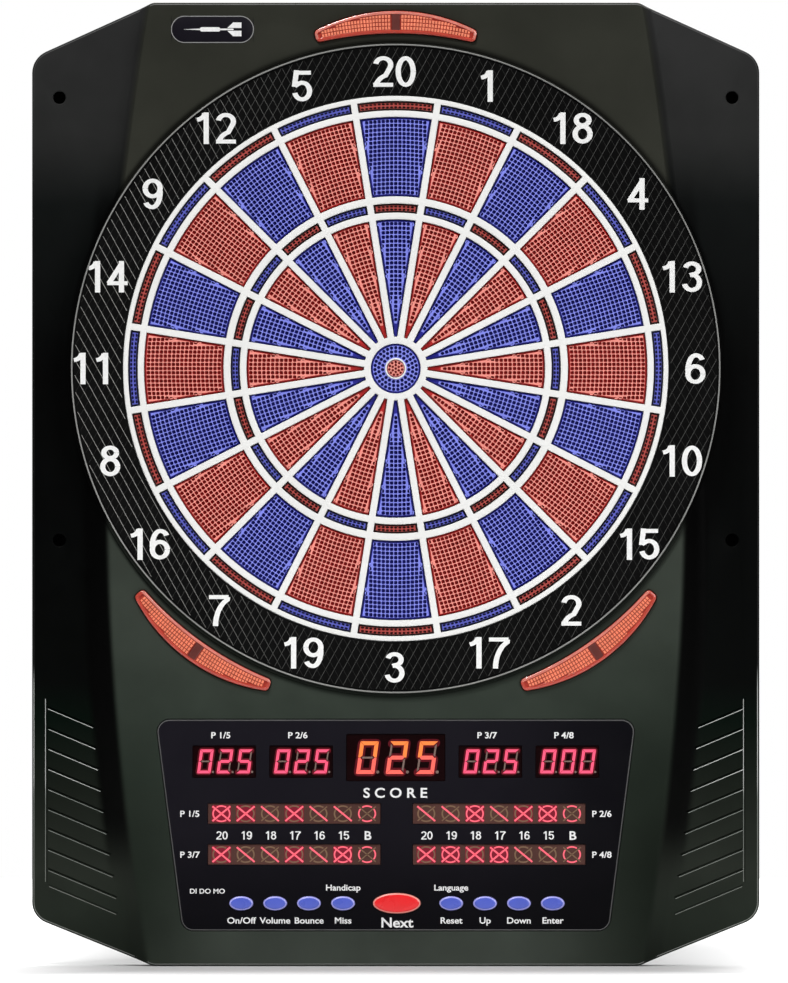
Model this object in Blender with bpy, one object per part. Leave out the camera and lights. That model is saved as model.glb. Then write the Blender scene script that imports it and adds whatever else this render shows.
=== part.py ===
"""Electronic dartboard: a wall-hung target that feels soft-tip darts and shows the score.

Metres, +Z up, +X to the right, and the front looks along -Y. The origin is where the bull's axis
meets the wall, so the wall is the plane y = 0 and the whole board stands in front of it.
A depth is a distance in front of the wall, so a point at depth d lies at y = -d.
Outlines are lists of (x, z) points that run anticlockwise as the board's front shows them.
"""

import math

import bpy
from mathutils import Matrix, Vector
from mathutils.geometry import delaunay_2d_cdt

MM = 0.001
GAP = 0.3 * MM
WALL = 2.5 * MM

# Housing outline: a rectangle with its four corners cut off.
HALF_WIDTH = 232.5 * MM
TOP = 233.6 * MM
BOTTOM = -381.4 * MM
SHOULDER = 198.7 * MM
HIP = -350.5 * MM
CORNER_HALF_WIDTH = 155 * MM

# Raised middle panel, whose two sides are one long arc each, and the lower wings beside it.
PANEL_FRONT = 33 * MM
PANEL_HALF_WIDTH = 183.2 * MM
PANEL_END_HALF_WIDTH = 157 * MM
PANEL_MIDDLE = (TOP + BOTTOM) / 2
SLOPE_WIDTHS = ((120 * MM, 5 * MM), (-215 * MM, 15 * MM), (-340 * MM, 11.5 * MM))
WING_INNER_X = 160 * MM
WING_INNER_DEPTH = 24 * MM
WING_OUTER_DEPTH = 19 * MM

# Drum around the target.
DRUM_BORE = 206.3 * MM
DRUM_RADIUS = 209.3 * MM
DRUM_FRONT = 36 * MM
DRUM_BACK = 16 * MM
ROUND_STEPS = 72

# Target zones, as radii of the openings in the white grille.
SECTORS = 20
RIB = 4.3 * MM
BULL_HOLE = 15.9 * MM
BANDS = (
    (20.3 * MM, 95.3 * MM),
    (99.6 * MM, 105.4 * MM),
    (110 * MM, 160.7 * MM),
    (164.8 * MM, 170.9 * MM),
)
NUMBERS = (20, 1, 18, 4, 13, 6, 10, 15, 2, 17, 3, 19, 7, 16, 8, 11, 14, 9, 12, 5)
SEGMENT_FLANGE = (18.5 * MM, 173 * MM)
SEGMENT_FLANGE_GAP = 0.25 * MM
BULL_FLANGE = 17.6 * MM
PLAY = 0.35 * MM
PRESS_TRAVEL = 1.5 * MM

# Depths of the layers of the target, from the wall forwards.
COVER_FRONT = 2.5 * MM
COVER_RIB_FRONT = 7.7 * MM
BACKING = (8.0 * MM, 11.0 * MM)
MEMBRANE = (11.3 * MM, 12.1 * MM)
RUBBER = (12.4 * MM, 14.4 * MM)
FLANGE = (16.2 * MM, 18.2 * MM)
SPIDER_BACK = 18.5 * MM
SPIDER_FLANGE_FRONT = 20.8 * MM
SPIDER_FRONT = 32 * MM
PAD_FRONT = 30.8 * MM
SPIDER_RADIUS = 174.1 * MM
SPIDER_FLANGE_RADIUS = 200 * MM
RING_INNER = 174.6 * MM
RING_OUTER = 206 * MM
RING_WALL = 2.2 * MM
RING_BACK = 21.2 * MM
RING_INNER_FRONT = 31.6 * MM
RING_OUTER_FRONT = 34.6 * MM

# Control panel plate, with its windows and buttons.
PLATE_TOP = -224 * MM
PLATE_BOTTOM = -359 * MM
PLATE_TOP_HALF_WIDTH = 153.4 * MM
PLATE_BOTTOM_HALF_WIDTH = 136.2 * MM
PLATE_CORNER = 8 * MM
PLATE_LIP = 3 * MM
PLATE_BACK = 28.6 * MM
PLATE_LIP_FRONT = 30.2 * MM
PLATE_FRONT = 32.4 * MM
DISPLAY_FRONT = 31.6 * MM
DISPLAY_BASE = (21.4 * MM, 28.3 * MM)
SWITCH_FRONT = 24.6 * MM
BOARD = (19.5 * MM, 21.1 * MM)
SMALL_WINDOW = (40.6 * MM, 20.7 * MM)
LARGE_WINDOW = (63.3 * MM, 30.2 * MM)
BAR_WINDOW = (110.6 * MM, 13.4 * MM)
DISPLAYS = {
    "display_player_1": (-109.5 * MM, -251.0 * MM, SMALL_WINDOW),
    "display_player_2": (-60.4 * MM, -251.0 * MM, SMALL_WINDOW),
    "display_main": (0, -248.4 * MM, LARGE_WINDOW),
    "display_player_3": (60.4 * MM, -251.0 * MM, SMALL_WINDOW),
    "display_player_4": (109.5 * MM, -251.0 * MM, SMALL_WINDOW),
}
CRICKET_BARS = {"cricket_display_left": -64.8 * MM, "cricket_display_right": 66.0 * MM}
BAR_ROWS = (-284.2 * MM, -310.3 * MM)
BUTTON_ROW = -341.4 * MM
BUTTON_HOLE = (15.8 * MM, 9.6 * MM)
NEXT_HOLE = (31.1 * MM, 13.7 * MM)
BUTTONS = {
    "button_on_off": (-98.6 * MM, BUTTON_HOLE),
    "button_volume": (-77.0 * MM, BUTTON_HOLE),
    "button_bounce": (-55.4 * MM, BUTTON_HOLE),
    "button_miss": (-33.7 * MM, BUTTON_HOLE),
    "button_next": (0.7 * MM, NEXT_HOLE),
    "button_reset": (35.4 * MM, BUTTON_HOLE),
    "button_up": (57.0 * MM, BUTTON_HOLE),
    "button_down": (78.6 * MM, BUTTON_HOLE),
    "button_enter": (100.2 * MM, BUTTON_HOLE),
}
BUTTON_FRONT = 34.2 * MM
BUTTON_BACK = 26.4 * MM

# Crescent lamp lenses, each between an arc around the bull and an arc of its own.
LENS_INNER_RADIUS = 213.9 * MM
LENS_ARC_RADIUS = 111.2 * MM
LENS_ARC_CENTRE = 117.1 * MM
LENS_HALF_ANGLE = math.radians(13.65)
LENS_TIP = 2.9 * MM
LENSES = {"lamp_top": 0, "lamp_right": math.radians(144.7), "lamp_left": math.radians(-144.7)}

# Fixings. The wall screws' wells are blind: the rear cover closes each one until it is drilled.
WELLS = [(side * 215 * MM, z * MM) for side in (-1, 1) for z in (173.3, -109.5)]
WELL_RADIUS = 4 * MM
WELL_TUBE_RADIUS = 7 * MM
SCREWS = {
    "rear_screw_top_left": (-190 * MM, 203 * MM),
    "rear_screw_top_right": (190 * MM, 203 * MM),
    "rear_screw_bottom_left": (-190 * MM, -352 * MM),
    "rear_screw_bottom_right": (190 * MM, -352 * MM),
}
SCREW_HEAD_RADIUS = 3.1 * MM
SCREW_SHANK_RADIUS = 1.3 * MM
SCREW_LEDGE = 2 * MM
SCREW_END = 13 * MM
SCREW_BOSS_RADIUS = 5.5 * MM
SCREW_BOSS_FRONT = 4.5 * MM
POST_RADIUS = 4.5 * MM
POST_BACK = 4.8 * MM
POST_FRONT = 18.5 * MM
POST_OVERLAP = 2 * MM
PILOT_LENGTH = 10 * MM
CLEARANCE = 5 * MM

# What holds the target in the depth of the case: the grille's posts and the rear cover's ribs.
GRILLE_POSTS = 8
GRILLE_POST_RADIUS = 4 * MM
GRILLE_POST_CIRCLE = 191 * MM
RIB_WIDTH = 2.4 * MM
HUB_RADIUS = 60 * MM
SPOKE_ENDS = (70 * MM, 190 * MM)
RUBBER_RADIUS = 178 * MM
MEMBRANE_RADIUS = 181 * MM
BACKING_RADIUS = 198 * MM
TAIL_HALF_WIDTH = 18 * MM
TAIL_END = -238 * MM

# The bulls.
INNER_BULL_FLANGE = 8 * MM
INNER_BULL_BORE = 5.75 * MM
BULL_STEP = FLANGE[1] + PRESS_TRAVEL + 0.5 * MM

# Electrical parts.
JACK_X = 100 * MM
JACK_DEPTH = 11 * MM
JACK_BLOCK = (14 * MM, 12 * MM)
JACK_LENGTH = 14 * MM
JACK_MOUTH_RADIUS = 3.2 * MM
JACK_MOUTH_REACH = 11 * MM
JACK_HOLE_RADIUS = 5 * MM
SPEAKER_AT = (-188 * MM, -262 * MM)
SPEAKER_PROFILE = (
    (26 * MM, 3.5 * MM),
    (26 * MM, 5.5 * MM),
    (17 * MM, 10.5 * MM),
    (14 * MM, 10.5 * MM),
    (14 * MM, 16 * MM),
)
SPEAKER_SLOTS = 5
SLOT_PITCH = 7 * MM
SLOT_WIDTH = 2.4 * MM
SLOT_LENGTH = 34 * MM
SLOT_SHORTER = 5 * MM
LAMP_BOARD = (86 * MM, 8 * MM)
LAMP_BOARD_AT = (0, 218.5 * MM)
LAMP_BOARD_DEPTHS = (20 * MM, 21.6 * MM)
LENS_DEPTHS = (27 * MM, 34 * MM, 35.2 * MM)
LENS_BEVEL = 1.2 * MM
MAIN_BOARD_SIZE = (276 * MM, 122 * MM)
MAIN_BOARD_AT = (0, -290 * MM)
SWITCH_SIZE = 6 * MM
DISPLAY_MARGIN = (2 * MM, 1.6 * MM)
BUTTON_FLANGE = 1.2 * MM
BUTTON_BEVEL = (1.2 * MM, 0.8 * MM)

# Louvres: slanted grooves in the lower wings.
LOUVRES = 9
LOUVRE_PITCH = 12.9 * MM
LOUVRE_FIRST = -216.1 * MM
LOUVRE_OUTER_X = 223.8 * MM
LOUVRE_FALL = math.tan(math.radians(22))
LOUVRE_WIDTH = 1.6 * MM
LOUVRE_DEPTH = 1 * MM
LOUVRE_MARGIN = 1 * MM

FINISHES = {
    "housing_plastic": ((0.035, 0.036, 0.034), 0.5, 0.0),
    "cover_plastic": ((0.025, 0.025, 0.025), 0.6, 0.0),
    "ring_plastic": ((0.012, 0.012, 0.013), 0.2, 0.0),
    "grille_white": ((0.86, 0.86, 0.84), 0.35, 0.0),
    "segment_blue": ((0.06, 0.08, 0.5), 0.4, 0.0),
    "segment_red": ((0.62, 0.06, 0.04), 0.4, 0.0),
    "rubber": ((0.05, 0.05, 0.05), 0.85, 0.0),
    "switch_film": ((0.55, 0.5, 0.35), 0.4, 0.0),
    "hardboard": ((0.32, 0.2, 0.11), 0.8, 0.0),
    "circuit_board": ((0.03, 0.2, 0.07), 0.45, 0.0),
    "lens_orange": ((0.8, 0.2, 0.1), 0.25, 0.0),
    "panel_gloss": ((0.02, 0.02, 0.022), 0.15, 0.0),
    "button_blue": ((0.14, 0.2, 0.6), 0.35, 0.0),
    "button_red": ((0.75, 0.07, 0.07), 0.35, 0.0),
    "display_red": ((0.3, 0.02, 0.04), 0.2, 0.0),
    "speaker_black": ((0.04, 0.04, 0.04), 0.6, 0.3),
    "screw_steel": ((0.55, 0.55, 0.56), 0.3, 1.0),
}


def finish(name):
    """The named material, made the first time that it is asked for."""
    material = bpy.data.materials.get(name)
    if material is None:
        colour, roughness, metallic = FINISHES[name]
        material = bpy.data.materials.new(name)
        material.use_nodes = True
        shader = material.node_tree.nodes["Principled BSDF"]
        shader.inputs["Base Color"].default_value = (*colour, 1)
        shader.inputs["Roughness"].default_value = roughness
        shader.inputs["Metallic"].default_value = metallic
    return material


def polar(radius, angle):
    """The (x, z) point at a radius and an angle clockwise from the top."""
    return radius * math.sin(angle), radius * math.cos(angle)


def ellipse(width, height, centre=(0, 0), steps=16):
    """Outline of an ellipse."""
    turns = [2 * math.pi * step / steps for step in range(steps)]
    return [
        (centre[0] + width / 2 * math.cos(turn), centre[1] + height / 2 * math.sin(turn))
        for turn in turns
    ]


def circle(radius, centre=(0, 0), steps=ROUND_STEPS):
    """Outline of a circle."""
    return ellipse(2 * radius, 2 * radius, centre, steps)


def rectangle(width, height, centre=(0, 0)):
    """Outline of an upright rectangle."""
    x, z = centre
    right, top = width / 2, height / 2
    return [(x - right, z - top), (x + right, z - top), (x + right, z + top), (x - right, z + top)]


def left_of(direction):
    """The direction turned a quarter anticlockwise, which points into an anticlockwise outline."""
    return Vector((-direction.y, direction.x))


def rounded(corners, steps=4):
    """Outline through (x, z, radius) corners, each turned by an arc of its radius."""
    outline = []
    for index, (x, z, radius) in enumerate(corners):
        corner = Vector((x, z))
        if radius == 0:
            outline.append((x, z))
            continue
        before = (corner - Vector(corners[index - 1][:2])).normalized()
        after = (Vector(corners[(index + 1) % len(corners)][:2]) - corner).normalized()
        turn = math.atan2(before.cross(after), before.dot(after))
        start = corner - before * radius * math.tan(abs(turn) / 2)
        centre = start + left_of(before) * radius * math.copysign(1, turn)
        for step in range(steps + 1):
            spoke = Matrix.Rotation(turn * step / steps, 2) @ (start - centre)
            outline.append(tuple(centre + spoke))
    return outline


def inset(outline, distance):
    """The outline moved inwards by a distance, or outwards by a negative one."""
    moved = []
    for index, point in enumerate(outline):
        corner = Vector(point)
        before = left_of((corner - Vector(outline[index - 1])).normalized())
        after = left_of((Vector(outline[(index + 1) % len(outline)]) - corner).normalized())
        moved.append(tuple(corner + (before + after) * distance / (1 + before.dot(after))))
    return moved


def sector(inner, outer, middle, side_gap, inner_steps=2):
    """Outline of a target zone at the angle middle, side_gap from the lines between numbers."""

    def arc(radius, steps, turn):
        half = math.pi / SECTORS - math.asin(side_gap / radius)
        return [polar(radius, middle + turn * half * (1 - 2 * s / steps)) for s in range(steps + 1)]

    return arc(outer, 2, 1) + arc(inner, inner_steps, -1)


def middle_angle(index):
    """Angle clockwise from the top to the middle of a number's sector."""
    return 2 * math.pi * index / SECTORS


def zones(index, play=0):
    """Outlines of one number's four openings, or of the pads in them with some play."""
    return [
        sector(inner + play, outer - play, middle_angle(index), RIB / 2 + play, 1 if band == 0 else 2)
        for band, (inner, outer) in enumerate(BANDS)
    ]


def is_inside(x, z, loops):
    """True where a point is inside an outline and outside its holes."""
    inside = False
    for loop in loops:
        for (x1, z1), (x2, z2) in zip(loop, loop[1:] + loop[:1]):
            if (z1 > z) != (z2 > z) and x < x1 + (z - z1) / (z2 - z1) * (x2 - x1):
                inside = not inside
    return inside


def fill(loops):
    """Triangles of (x, z) points that fill an outline, the first loop, and leave its holes."""
    points = [point for loop in loops for point in loop]
    edges = []
    for loop in loops:
        first = len(edges)
        edges += [(first + step, first + (step + 1) % len(loop)) for step in range(len(loop))]
    corners = [Vector(point) for point in points]
    _, _, faces, sources, _, _ = delaunay_2d_cdt(corners, edges, [], 0, 1e-6)
    triangles = []
    for face in faces:
        (x1, z1), (x2, z2), (x3, z3) = triangle = [points[sources[corner][0]] for corner in face]
        if is_inside((x1 + x2 + x3) / 3, (z1 + z2 + z3) / 3, loops):
            turns_left = (x2 - x1) * (z3 - z1) > (x3 - x1) * (z2 - z1)
            triangles.append(triangle if turns_left else triangle[::-1])
    return triangles


class Skin:
    """Collects the faces of one or more closed solids and makes an object of them."""

    def __init__(self):
        self.faces = []

    def cap(self, outline, depth, holes=(), front=True):
        """A flat face with holes at one depth, which looks to the front or to the back."""
        for triangle in fill([outline, *holes]):
            face = [(x, -depth, z) for x, z in triangle]
            self.faces.append(face if front else face[::-1])

    def wall(self, outline, back, front, inwards=False):
        """The side of an outline between two depths, which looks out of it or into it."""
        for index, (x, z) in enumerate(outline):
            last_x, last_z = outline[index - 1]
            face = [(last_x, -back, last_z), (x, -back, z), (x, -front, z), (last_x, -front, last_z)]
            self.faces.append(face[::-1] if inwards else face)

    def prism(self, outline, back, front, holes=()):
        """A plate between two depths, with holes right through it."""
        self.cap(outline, back, holes, front=False)
        self.cap(outline, front, holes)
        self.wall(outline, back, front)
        for hole in holes:
            self.wall(hole, back, front, inwards=True)

    def boss(self, outline, back, front, hole=None):
        """A raised part of a plate whose own face leaves out this outline."""
        self.wall(outline, back, front)
        self.cap(outline, front, [hole] if hole else [])

    def loft(self, loops):
        """A solid through loops of (x, depth, z) points, each running on from the last."""
        loops = [[(x, -depth, z) for x, depth, z in loop] for loop in loops]
        self.faces += [loops[0][::-1], loops[-1]]
        for back, front in zip(loops, loops[1:]):
            for index in range(len(back)):
                self.faces.append([back[index - 1], back[index], front[index], front[index - 1]])

    def turned(self, profile, steps):
        """A ring whose section is a loop of (radius, depth): up its outer wall, down its inner one."""
        for radius_depth, following in zip(profile, profile[1:] + profile[:1]):
            start = circle(radius_depth[0], steps=steps)
            end = circle(following[0], steps=steps)
            for index in range(steps):
                ring = (start[index - 1], start[index], end[index], end[index - 1])
                depths = (radius_depth[1], radius_depth[1], following[1], following[1])
                self.faces.append([(x, -depth, z) for (x, z), depth in zip(ring, depths)])

    def build(self, name, material):
        """One object of the collected faces, with shared corners where faces meet."""
        places = {}
        faces = []
        for face in self.faces:
            keys = [tuple(round(value, 7) for value in point) for point in face]
            faces.append([places.setdefault(key, len(places)) for key in keys])
        mesh = bpy.data.meshes.new(name)
        mesh.from_pydata(list(places), [], faces)
        mesh.materials.append(finish(material))
        mesh.shade_smooth()
        mesh.set_sharp_from_angle(angle=math.radians(30))
        part = bpy.data.objects.new(name, mesh)
        bpy.context.collection.objects.link(part)
        return part


def stack(outlines_and_depths):
    """Loops for a loft, from (outline, depth) pairs."""
    return [[(x, depth, z) for x, z in outline] for outline, depth in outlines_and_depths]


def combine(target, tool, operation):
    """Joins, cuts or trims the target with a hidden tool solid."""
    change = target.modifiers.new(f"{operation.lower()} {tool.name}", "BOOLEAN")
    change.operation = operation
    change.solver = "EXACT"
    change.object = tool
    tool.hide_render = True
    tool.display_type = "WIRE"


def housing_outline():
    """The board's outline as the front shows it."""
    right = [
        (CORNER_HALF_WIDTH, BOTTOM, 8 * MM),
        (HALF_WIDTH, HIP, 14 * MM),
        (HALF_WIDTH, SHOULDER, 15 * MM),
        (CORNER_HALF_WIDTH, TOP, 8 * MM),
    ]
    left = [(-x, z, radius) for x, z, radius in reversed(right)]
    return rounded(right + left, steps=3)


def panel_edge(z):
    """Half the raised panel's width at a height."""
    reach = (z - PANEL_MIDDLE) / (TOP - PANEL_MIDDLE)
    return PANEL_HALF_WIDTH - (PANEL_HALF_WIDTH - PANEL_END_HALF_WIDTH) * reach**2


def slope_width(z):
    """Width of the slope between the panel and the wing, widest in the lower half."""
    for (high, high_width), (low, low_width) in zip(SLOPE_WIDTHS, SLOPE_WIDTHS[1:]):
        if z > low:
            share = max((high - z) / (high - low), 0)
            return high_width + (low_width - high_width) * share
    return SLOPE_WIDTHS[-1][1]


def wing_depth(x):
    """Depth of the wing's face, which leans back towards the board's side."""
    share = (x - WING_INNER_X) / (HALF_WIDTH - WING_INNER_X)
    return WING_INNER_DEPTH + (WING_OUTER_DEPTH - WING_INNER_DEPTH) * share


def wing_cutter(name, wall=0):
    """What is cut away in front of both wings, or, a wall nearer, in front of the hollow."""
    beyond = HALF_WIDTH + 2 * CLEARANCE
    ahead = PANEL_FRONT + 2 * CLEARANCE
    low, high, rows = BOTTOM - CLEARANCE, TOP + CLEARANCE, 10
    heights = [low + (high - low) * row / rows for row in range(rows + 1)]
    skin = Skin()
    for side in (1, -1):
        loops = []
        for z in heights:
            foot = panel_edge(z) + slope_width(z)
            rise = (ahead - wing_depth(foot)) / (PANEL_FRONT - wing_depth(foot))
            section = [
                (foot - slope_width(z) * rise, ahead + wall),
                (foot, wing_depth(foot)),
                (beyond, wing_depth(beyond)),
                (beyond, ahead + wall),
            ]
            loops.append([(side * (x - wall), depth - wall, z) for x, depth in section])
        skin.loft([loop[::-side] for loop in loops])
    return skin.build(name, "housing_plastic")


def lens_outline(grow=0):
    """A crescent above the bull between two arcs, with rounded tips."""

    def outer(angle):
        across = LENS_ARC_CENTRE * math.sin(angle)
        return LENS_ARC_CENTRE * math.cos(angle) + math.sqrt(LENS_ARC_RADIUS**2 - across**2)

    steps = 8
    shares = [1 - 2 * step / steps for step in range(steps + 1)]
    outer_arc = [polar(outer(LENS_HALF_ANGLE * share), LENS_HALF_ANGLE * share) for share in shares]
    inner_arc = [polar(LENS_INNER_RADIUS, -LENS_HALF_ANGLE * share) for share in shares]
    corners = []
    for arc in (outer_arc, inner_arc):
        radii = [LENS_TIP] + [0] * (steps - 1) + [LENS_TIP]
        corners += [(x, z, radius) for (x, z), radius in zip(arc, radii)]
    return inset(rounded(corners, steps=3), -grow)


def turned_outline(outline, angle):
    """The outline swung clockwise around the bull."""
    swing = Matrix.Rotation(-angle, 2)
    return [tuple(swing @ Vector(point)) for point in outline]


def plate_outline():
    """The control panel plate's outline, narrower at the bottom."""
    corners = [
        (PLATE_BOTTOM_HALF_WIDTH, PLATE_BOTTOM, PLATE_CORNER),
        (PLATE_TOP_HALF_WIDTH, PLATE_TOP, PLATE_CORNER),
        (-PLATE_TOP_HALF_WIDTH, PLATE_TOP, PLATE_CORNER),
        (-PLATE_BOTTOM_HALF_WIDTH, PLATE_BOTTOM, PLATE_CORNER),
    ]
    return rounded(corners, steps=3)


def louvre_cutter():
    """Shallow slanted grooves in both lower wings."""
    skin = Skin()
    ahead = PANEL_FRONT + CLEARANCE
    for number in range(LOUVRES):
        outer_z = LOUVRE_FIRST - LOUVRE_PITCH * number
        low_z = outer_z - LOUVRE_PITCH
        inner_x = panel_edge(low_z) + slope_width(low_z) + LOUVRE_MARGIN
        inner_z = outer_z - (LOUVRE_OUTER_X - inner_x) * LOUVRE_FALL
        for side in (1, -1):
            ends = [(inner_x, inner_z), (LOUVRE_OUTER_X, outer_z)]
            ends += [(x, z + LOUVRE_WIDTH) for x, z in reversed(ends)]
            floor = [(side * x, wing_depth(x) - LOUVRE_DEPTH, z) for x, z in ends]
            top = [(side * x, ahead, z) for x, z in ends]
            skin.loft([floor[::side], top[::side]])
    return skin.build("louvre_cutter", "housing_plastic")


def make_housing():
    """The moulded front shell: middle panel, wings, drum, fixing tubes and screw posts."""
    outline = housing_outline()
    shell = Skin()
    shell.prism(outline, 0, PANEL_FRONT)
    housing = shell.build("front_housing", "housing_plastic")
    combine(housing, wing_cutter("wing_cutter"), "DIFFERENCE")

    hollow = Skin()
    hollow.prism(inset(outline, WALL), -CLEARANCE, PANEL_FRONT - WALL)
    cavity = hollow.build("housing_cavity", "housing_plastic")
    combine(cavity, wing_cutter("cavity_wing_cutter", WALL), "DIFFERENCE")
    combine(housing, cavity, "DIFFERENCE")

    additions = Skin()
    additions.prism(circle(DRUM_RADIUS), DRUM_BACK, DRUM_FRONT)
    for centre in WELLS:
        additions.prism(circle(WELL_TUBE_RADIUS, centre, 12), COVER_FRONT + GAP, POST_FRONT)
    for centre in SCREWS.values():
        additions.prism(circle(POST_RADIUS, centre, 10), POST_BACK, POST_FRONT + POST_OVERLAP)
    combine(housing, additions.build("housing_additions", "housing_plastic"), "UNION")

    openings = Skin()
    ahead = PANEL_FRONT + CLEARANCE
    openings.prism(circle(DRUM_BORE), DRUM_BACK - CLEARANCE, DRUM_FRONT + CLEARANCE)
    openings.prism(inset(plate_outline(), -GAP), PANEL_FRONT - CLEARANCE, ahead)
    for angle in LENSES.values():
        openings.prism(turned_outline(lens_outline(GAP), angle), PANEL_FRONT - CLEARANCE, ahead)
    for centre in WELLS:
        openings.prism(circle(WELL_RADIUS, centre, 12), -CLEARANCE, ahead)
    for centre in SCREWS.values():
        pilot = circle(SCREW_SHANK_RADIUS + GAP, centre, 8)
        openings.prism(pilot, POST_BACK - CLEARANCE, POST_BACK + PILOT_LENGTH)
    combine(housing, openings.build("housing_openings", "housing_plastic"), "DIFFERENCE")
    combine(housing, louvre_cutter(), "DIFFERENCE")

    jack_hole = Skin()
    jack_hole.prism(circle(JACK_HOLE_RADIUS, steps=12), -CLEARANCE, CLEARANCE)
    hole = jack_hole.build("jack_hole", "housing_plastic")
    face_down(hole, BOTTOM)
    combine(housing, hole, "DIFFERENCE")


def face_down(part, height):
    """Turns a solid made facing the front so that it faces down at the power socket's place."""
    part.rotation_euler = (math.pi / 2, 0, 0)
    part.location = (JACK_X, -JACK_DEPTH, height)


def post_angles():
    """Angles clockwise from the top of the grille's posts and of the ribs behind them."""
    return [2 * math.pi * (number + 0.5) / GRILLE_POSTS for number in range(GRILLE_POSTS)]


def make_rear_cover():
    """The flat back, with ribs that hold the target, screw holes and a speaker grille."""
    outline = inset(housing_outline(), WALL + GAP)
    slots = []
    for number in range(SPEAKER_SLOTS):
        step = number - (SPEAKER_SLOTS - 1) / 2
        centre = (SPEAKER_AT[0], SPEAKER_AT[1] + step * SLOT_PITCH)
        slots.append(rectangle(SLOT_LENGTH - SLOT_SHORTER * abs(step), SLOT_WIDTH, centre))
    heads = [circle(SCREW_HEAD_RADIUS + GAP, centre, 10) for centre in SCREWS.values()]
    bosses = [circle(SCREW_BOSS_RADIUS, centre, 10) for centre in SCREWS.values()]
    shanks = [circle(SCREW_SHANK_RADIUS + GAP, centre, 10) for centre in SCREWS.values()]
    hub, hub_inside = circle(HUB_RADIUS, steps=32), circle(HUB_RADIUS - RIB_WIDTH, steps=32)
    spoke_length, spoke_middle = SPOKE_ENDS[1] - SPOKE_ENDS[0], sum(SPOKE_ENDS) / 2
    spoke = rectangle(RIB_WIDTH, spoke_length, (0, spoke_middle))
    spokes = [turned_outline(spoke, angle) for angle in post_angles()]

    skin = Skin()
    skin.wall(outline, 0, COVER_FRONT)
    skin.cap(outline, 0, slots + heads, front=False)
    skin.cap(outline, COVER_FRONT, slots + bosses + spokes + [hub])
    for slot in slots:
        skin.wall(slot, 0, COVER_FRONT, inwards=True)
    for head, boss, shank in zip(heads, bosses, shanks):
        skin.wall(head, 0, SCREW_LEDGE, inwards=True)
        skin.cap(head, SCREW_LEDGE, [shank], front=False)
        skin.wall(shank, SCREW_LEDGE, SCREW_BOSS_FRONT, inwards=True)
        skin.boss(boss, COVER_FRONT, SCREW_BOSS_FRONT, shank)
    for rib in spokes:
        skin.boss(rib, COVER_FRONT, COVER_RIB_FRONT)
    skin.boss(hub, COVER_FRONT, COVER_RIB_FRONT, hub_inside)
    skin.wall(hub_inside, COVER_FRONT, COVER_RIB_FRONT, inwards=True)
    skin.cap(hub_inside, COVER_FRONT)
    skin.build("rear_cover", "cover_plastic")


def make_screws():
    """Four screws that hold the rear cover to the housing's posts."""
    for name, centre in SCREWS.items():
        head = circle(SCREW_HEAD_RADIUS, centre, 10)
        shank = circle(SCREW_SHANK_RADIUS, centre, 10)
        ledge = SCREW_LEDGE - GAP
        levels = [(head, GAP), (head, ledge), (shank, ledge), (shank, SCREW_END)]
        skin = Skin()
        skin.loft(stack(levels))
        skin.build(name, "screw_steel")


def make_spider():
    """The white grille with its 80 openings and bull hole, on a clamped rear flange with posts."""
    openings = [zone for index in range(SECTORS) for zone in zones(index)]
    openings.append(circle(BULL_HOLE, steps=24))
    rim = circle(SPIDER_RADIUS, steps=60)
    flange = circle(SPIDER_FLANGE_RADIUS, steps=60)
    centres = [polar(GRILLE_POST_CIRCLE, angle) for angle in post_angles()]
    posts = [circle(GRILLE_POST_RADIUS, centre, 8) for centre in centres]
    skin = Skin()
    skin.cap(flange, SPIDER_BACK, openings + posts, front=False)
    skin.wall(flange, SPIDER_BACK, SPIDER_FLANGE_FRONT)
    skin.cap(flange, SPIDER_FLANGE_FRONT, [rim])
    skin.wall(rim, SPIDER_FLANGE_FRONT, SPIDER_FRONT)
    skin.cap(rim, SPIDER_FRONT, openings)
    for opening in openings:
        skin.wall(opening, SPIDER_BACK, SPIDER_FRONT, inwards=True)
    for post in posts:
        skin.wall(post, BACKING[1] + GAP, SPIDER_BACK)
        skin.cap(post, BACKING[1] + GAP, front=False)
    skin.build("spider", "grille_white")


def make_segments():
    """One node per number: its four pads on the flange behind the grille that carries them."""
    for index, number in enumerate(NUMBERS):
        flange = sector(*SEGMENT_FLANGE, middle_angle(index), SEGMENT_FLANGE_GAP, inner_steps=1)
        pads = zones(index, PLAY)
        skin = Skin()
        skin.cap(flange, FLANGE[0], front=False)
        skin.wall(flange, *FLANGE)
        skin.cap(flange, FLANGE[1], pads)
        for pad in pads:
            skin.boss(pad, FLANGE[1], PAD_FRONT)
        colour = "segment_blue" if index % 2 == 0 else "segment_red"
        skin.build(f"segments_{number:02d}", colour)


def make_bulls():
    """The outer bull, a flanged ring, and the inner bull inside it."""
    outer = Skin()
    outer.turned(
        [
            (BULL_FLANGE, FLANGE[0]),
            (BULL_FLANGE, FLANGE[1]),
            (BULL_HOLE - PLAY, FLANGE[1]),
            (BULL_HOLE - PLAY, PAD_FRONT),
            (INNER_BULL_BORE, PAD_FRONT),
            (INNER_BULL_BORE, BULL_STEP),
            (INNER_BULL_FLANGE + GAP, BULL_STEP),
            (INNER_BULL_FLANGE + GAP, FLANGE[0]),
        ],
        steps=24,
    )
    outer.build("bull_outer", "segment_blue")
    flange = circle(INNER_BULL_FLANGE, steps=24)
    pad = circle(INNER_BULL_BORE - GAP, steps=24)
    inner = Skin()
    inner.loft(stack([(flange, FLANGE[0]), (flange, FLANGE[1]), (pad, FLANGE[1]), (pad, PAD_FRONT)]))
    inner.build("bull_inner", "segment_red")


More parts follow.
